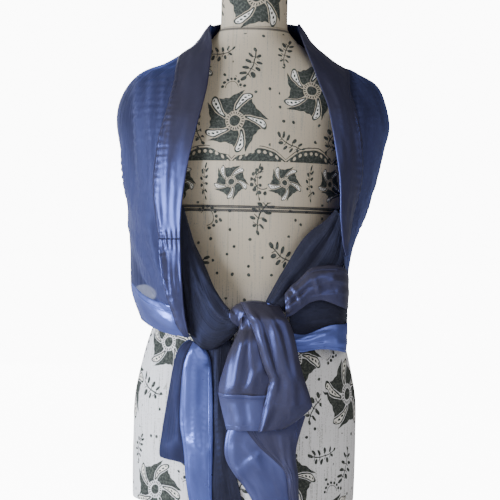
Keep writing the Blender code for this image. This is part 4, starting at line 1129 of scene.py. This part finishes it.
def stretchPiece(name, node, slotName, stations, across, trees, material, flat, hems=(), span=None,
                 free=-1.0, widen=(0, 0), roll=(0, 0.1, 0, 0.1)):
    # widen: how far each edge goes on out of sight; roll: how far each edge turns back, and
    # over what share of the width; free: the last station that lies on nothing
    build = stretchBuild
    key = node if node in stretches else "loop"
    rows, bulge, folds = stretches[key]
    first, last = span or (0.0, len(rows) - 1.0)
    places = np.linspace(first, last, stations)
    table = smoothRows(rows, places) * mm
    way = table[:, 3:] - table[:, :3]
    way /= np.linalg.norm(way, axis=1)[:, None]
    table[:, :3] -= way * widen[0]
    table[:, 3:] += way * widen[1]
    part = np.linspace(0, 1, across)
    coarse = table[:, None, :3] * (1 - part)[:, None] + table[:, None, 3:] * part[:, None]
    lift = bulge * mm * np.sin(math.pi * part)[None, :] * np.ones((stations, 1))
    for middle, width, height, start, stop in folds:
        reach = np.clip(np.minimum(places - start + 0.3, stop - places + 0.3), 0, 1)
        lift += height * mm * reach[:, None] * np.exp(-((part - middle) / width) ** 2)[None, :]
    coarse[..., 1] -= lift
    push = np.zeros(coarse.shape[:2])
    for i, j in np.ndindex(push.shape):
        if places[i] > free:
            x, y, z = coarse[i, j]
            push[i, j] = max(0.0, y - aheadOf(x, z, trees, build["reach"]) + build["gap"])
    coarse[..., 1] -= np.maximum(push, softened(push, 1))
    # the same surface on a fine grid, with its smaller folds
    length = np.linalg.norm(np.diff(coarse, axis=0), axis=2).sum(axis=0).mean()
    breadth = np.linalg.norm(np.diff(coarse, axis=1), axis=2).sum(axis=1).max()
    fineRows, fineColumns = (max(12, round(size / build["cell"])) for size in (length, breadth))
    fine = smoothRows(coarse.reshape(stations, -1), np.linspace(0, stations - 1, fineRows))
    fine = fine.reshape(fineRows, across, 3).transpose(1, 0, 2).reshape(across, -1)
    fine = smoothRows(fine, np.linspace(0, across - 1, fineColumns))
    fine = fine.reshape(fineColumns, fineRows, 3).transpose(1, 0, 2).copy()
    normal = gridNormals(fine)
    if normal[..., 1].mean() > 0:
        normal = -normal
    v, u = np.meshgrid(np.linspace(0, length, fineRows), np.linspace(0, breadth, fineColumns), indexing="ij")
    lift = creaseLift(fine[..., 0], fine[..., 2], stretchCreases[key], build["lean"])
    # crease height as 0 to 1, for the painted shade in the troughs and painted light on the ridges
    folds = np.clip(lift / build["paintedLightRidge"] + 0.1, 0, 1)
    lift += build["ripple"] * (0.5 + ripple(u, v, 90.0, 22.0, 5.0 + len(name)))
    lift += build["wave"] * (0.5 + ripple(u, v, 42.0, 30.0, 50.0 + len(name)))
    fine = fine + normal * (lift + build["out"])[..., None]
    share = np.linspace(0, 1, fineColumns)[None, :]
    fine[..., 1] += roll[0] * np.exp(-(share / roll[1]) ** 1.5)
    fine[..., 1] += roll[2] * np.exp(-((1 - share) / roll[3]) ** 1.5)
    push = np.zeros(fine.shape[:2])
    freeRow = free / max(last, 1e-6) * fineRows
    for i, j in np.ndindex(push.shape):
        if i > freeRow:
            x, y, z = fine[i, j]
            push[i, j] = max(0.0, y - aheadOf(x, z, trees, 0) + build["rest"])
    fine[..., 1] -= spreadPush(push, *build["spread"])
    return clothPiece(name, node, slotName, fine, material, towardsViewer, build["thickness"],
                      flat=flat, hemEdges=hems, folds=folds)


over = [formTree, *capeTrees, *bandTrees]
tailBack = stretchPiece("leftTailChiffon", "tail_left_chiffon", "chiffon", 12, 6, [formTree], chiffonDark,
                        0.11, widen=(0.004, 0))
flap = stretchPiece("leftTailFlap", "tail_left_flap", "chiffon", 12, 6, over, chiffonWide, 0.11,
                    ("left", "bottom"), widen=(0, 0.006), roll=(0.004, 0.10, 0, 0.1))
tailBackTree = treeOf(tailBack)
tailBand = stretchPiece("leftTailBand", "tail_left_band", "satin", 13, 6, [*over, treeOf(flap), tailBackTree],
                        satinPaintedBrightest, 0.055, ("left", "right"), roll=(0.004, 0.12, 0.002, 0.08))
tailTrees = [tailBackTree, treeOf(tailBand)]
drapeLeft = stretchPiece("leftDrape", "drape_left", "chiffon", 15, 8, [formTree, *tailTrees], chiffonDark,
                         0.39, roll=(0.004, 0.10, 0.003, 0.08))
drapeRight = stretchPiece("rightDrape", "drape_right", "chiffon", 14, 8, [formTree], chiffonDark, 0.39,
                          widen=(0, 0.007), roll=(0.003, 0.08, 0, 0.1))
drapeTree = treeOf(drapeRight)
gatherChiffon = stretchPiece("rightGatherChiffon", "gather_chiffon", "chiffon", 13, 5, [formTree, drapeTree],
                             chiffonDark, 0.12, free=2.1, widen=(0.006, 0.006))
behindGather = [drapeTree, treeOf(gatherChiffon)]
gatherBand = stretchPiece("rightGatherBand", "gather_band", "satin", 15, 7, behindGather, satinPaintedShaded, 0.055,
                          ("left",), free=2.1, roll=(0.003, 0.10, 0, 0.1))
gatherBorder = stretchPiece("rightGatherBorder", "gather_border", "satin", 12, 6, behindGather, satinPaintedBrightest,
                            0.055, ("right",), free=2.1)
ends = [*behindGather, *map(treeOf, (drapeLeft, gatherBand, gatherBorder))]
print("drapes, gather and left tail ready")

# the knot: a folded pad that ends close behind its rim
knotBuild = {
    "x": 0.0115, "z": 0.3005, "halfWidth": 0.039, "halfHeight": 0.0225, "front": -0.1315, "depth": 0.0145,
    "behind": -0.1260, "reach": 0.004, "rest": 0.0006, "ripple": 0.0008, "thickness": 0.0008, "flat": 0.09,
    "folds": ((-0.45, 0.14, 0.0030), (0.05, 0.12, 0.0034), (0.55, 0.14, 0.0030), (-0.75, 0.08, 0.0016),
              (-0.20, 0.07, 0.0014), (0.30, 0.07, 0.0014)),
    "cells": 56,
}


def knotPiece(build, trees):
    u, v = np.meshgrid(np.linspace(-1, 1, build["cells"]), np.linspace(-1, 1, build["cells"] // 2),
                       indexing="ij")
    px, pz = u * np.sqrt(1 - v * v / 2), v * np.sqrt(1 - u * u / 2)
    x, z = build["x"] + px * build["halfWidth"], build["z"] + pz * build["halfHeight"]
    dome = np.sqrt(np.maximum(0.0, 1 - px * px - pz * pz))
    lift = dome * build["depth"]
    for middle, width, height in build["folds"]:
        lift += height * dome * np.exp(-((px - middle - 0.25 * pz) / width) ** 2)
    lift += build["ripple"] * dome * ripple(px, pz, 6.0, 3.0, 31.0)
    behind = np.array([min(build["behind"], aheadOf(a, b, trees, build["reach"]) - build["rest"])
                       for a, b in zip(x.ravel(), z.ravel())]).reshape(x.shape)
    behind = np.minimum(behind, softened(behind, 6)) - build["rest"]
    points = np.stack([x, np.minimum(behind, build["front"] - lift), z], axis=-1)
    return clothPiece("stoleKnot", "knot", "satin", points, satinPaintedShaded, towardsViewer, build["thickness"],
                      flat=build["flat"])


knot = knotPiece(knotBuild, ends)
tailRight = stretchPiece("rightTail", "tail_right", "chiffon", 13, 8, [formTree, tailBackTree], satinPaintedLit,
                         0.14, ("left",), roll=(0.006, 0.08, 0, 0.1))
tailRightTree = treeOf(tailRight)
tailRightBand = stretchPiece("rightTailBand", "tail_right_band", "satin", 12, 6, [tailRightTree], satinPaintedShaded,
                             0.055, ("left", "right"), roll=(0.002, 0.10, 0.004, 0.12))
underLoop = [*ends, *tailTrees, tailRightTree, treeOf(knot), treeOf(tailRightBand)]
loop = stretchPiece("loopChiffon", "loop_chiffon", "chiffon", 13, 8, underLoop, satinPaintedShaded, 0.12,
                    span=(0.0, 6.0), roll=(0.009, 0.10, 0, 0.1))
underLoop.append(treeOf(loop))
loopBorder = stretchPiece("loopBorder", "loop_border", "satin", 6, 8, underLoop, satinPaintedLit, 0.12,
                          ("top", "bottom"), span=(5.90, 9.0), roll=(0.012, 0.26, 0, 0.1))
underLoop.append(treeOf(loopBorder))
loopFold = stretchPiece("loopFold", "loop_fold", "satin", 15, 8, underLoop, satinPaintedShaded, 0.10, ("left",),
                        roll=(0.010, 0.10, 0.004, 0.10))
print("tails, knot and loop ready")

# the cut of each stretch of cloth that shows, as width and length before it was draped
cuts = (
    (cape, (0.42, 1.00), "draped", ["form_torso"]),
    (capeBorder, (0.060, 0.88), "hung", ["stoleShoulders"]),
    (collar, (0.055, 1.20), "folded", ["stoleShoulders"]),
    (lowBand, (0.025, 0.16), "folded", ["stoleShoulders"]),
    (drapeLeft, (0.05, 0.20), "gathered", ["form_torso", "stoleKnot"]),
    (drapeRight, (0.05, 0.20), "gathered", ["form_torso", "stoleKnot"]),
    (gatherChiffon, (0.05, 0.14), "gathered", ["form_torso", "stoleKnot"]),
    (gatherBand, (0.05, 0.18), "gathered", ["stoleKnot"]),
    (gatherBorder, (0.05, 0.16), "gathered", ["stoleKnot"]),
    (flap, (0.04, 0.19), "hung", ["form_torso"]),
    (tailBand, (0.045, 0.25), "hung", ["stoleKnot"]),
    (tailBack, (0.045, 0.25), "hung", ["form_torso"]),
    (tailRight, (0.10, 0.13), "hung", ["form_torso"]),
    (tailRightBand, (0.045, 0.14), "hung", ["rightTail"]),
    (loop, (0.075, 0.13), "folded", ["stoleKnot"]),
    (loopBorder, (0.055, 0.09), "folded", ["stoleKnot"]),
    (loopFold, (0.07, 0.21), "folded", ["stoleKnot"]),
)


def clothArea(obj):
    return sum(face.area for face in obj.data.polygons)


for piece, flat, held, restsOn in cuts:
    share = clothArea(piece) / (flat[0] * flat[1])
    print(f"{piece.name}: cloth {clothArea(piece):.4f} m2, {share:.2f} of its cut")

# the stage: pale floor and soft studio light
stageLook = {
    "floor": (0.80, 0.80, 0.80, 1), "radius": 60.0, "drop": 0.0005, "seenFloor": 11.0, "litFloor": 0.25,
    "seenSky": 11.0, "above": (0.13, 0.13, 0.13, 1), "below": (0.20, 0.20, 0.20, 1),
}
softBoxes = (
    # name, place, aim, width, height, power, colour
    ("window", (-2.2, -1.45, 0.25), (0, 0, 0.35), 1.2, 1.3, 160, (0.86, 0.91, 1.0)),
    ("fill", (1.3, -2.8, 1.1), (0, 0, 0.4), 2.2, 1.4, 26, (1.0, 0.98, 0.95)),
    ("behind", (-1.2, 2.2, 0.9), (0, 0, 0.4), 1.4, 1.6, 12, (1.0, 1.0, 1.0)),
)


def buildFloor(look):
    built = bmesh.new()
    bmesh.ops.create_circle(built, cap_ends=True, radius=look["radius"], segments=96)
    mesh = bpy.data.meshes.new("floor")
    built.to_mesh(mesh)
    built.free()
    floor = bpy.data.objects.new("floor", mesh)
    floor.location.z = -look["drop"]
    bpy.context.scene.collection.objects.link(floor)
    material, tree, shader = newMaterial("pale floor")
    seen = Wire(addNode(tree, "ShaderNodeLightPath"), "Is Camera Ray")
    fill(shader, {"Base Color": look["floor"], "Roughness": 0.9, "Specular IOR Level": 0.1,
                  "Emission Color": (1, 1, 1, 1),
                  "Emission Strength": mulAdd(seen, look["seenFloor"] - look["litFloor"], look["litFloor"])})
    mesh.materials.append(material)


def buildSky(look):
    world = bpy.data.worlds.new("studio")
    bpy.context.scene.world = world
    world.use_nodes = True
    tree = world.node_tree
    tree.nodes.clear()
    up = axesOf(Wire(addNode(tree, "ShaderNodeTexCoord"), "Generated"))[2]
    room = mixColours(softStep(up, 0.5, -0.4), look["above"], look["below"])
    seen = Wire(addNode(tree, "ShaderNodeLightPath"), "Is Camera Ray")
    light = addNode(tree, "ShaderNodeBackground", {
        "Color": mixColours(seen, room, (1, 1, 1, 1)), "Strength": mulAdd(seen, look["seenSky"] - 1.0, 1.0)})
    addNode(tree, "ShaderNodeOutputWorld", {"Surface": Wire(light)})


def softBox(name, place, aim, width, height, power, colour):
    data = bpy.data.lights.new(name, "AREA")
    data.shape = "RECTANGLE"
    data.size, data.size_y, data.energy, data.color = width, height, power, colour
    lamp = bpy.data.objects.new(name, data)
    lamp.location = place
    lamp.rotation_euler = (Vector(aim) - Vector(place)).to_track_quat("-Z", "Y").to_euler()
    bpy.context.scene.collection.objects.link(lamp)


buildFloor(stageLook)
buildSky(stageLook)
for box in softBoxes:
    softBox(*box)

cameraLook = {"lens": 106.34, "sensor": 36.0, "place": (0.002, -2.4, 0.40), "roll": -1.35}
cameraData = bpy.data.cameras.new("camera")
cameraData.sensor_width = cameraLook["sensor"]
cameraData.lens = cameraLook["lens"]
camera = bpy.data.objects.new("camera", cameraData)
camera.location = cameraLook["place"]
camera.rotation_euler = (math.radians(90), math.radians(cameraLook["roll"]), 0)
bpy.context.scene.collection.objects.link(camera)
bpy.context.scene.camera = camera
print("stage ready")
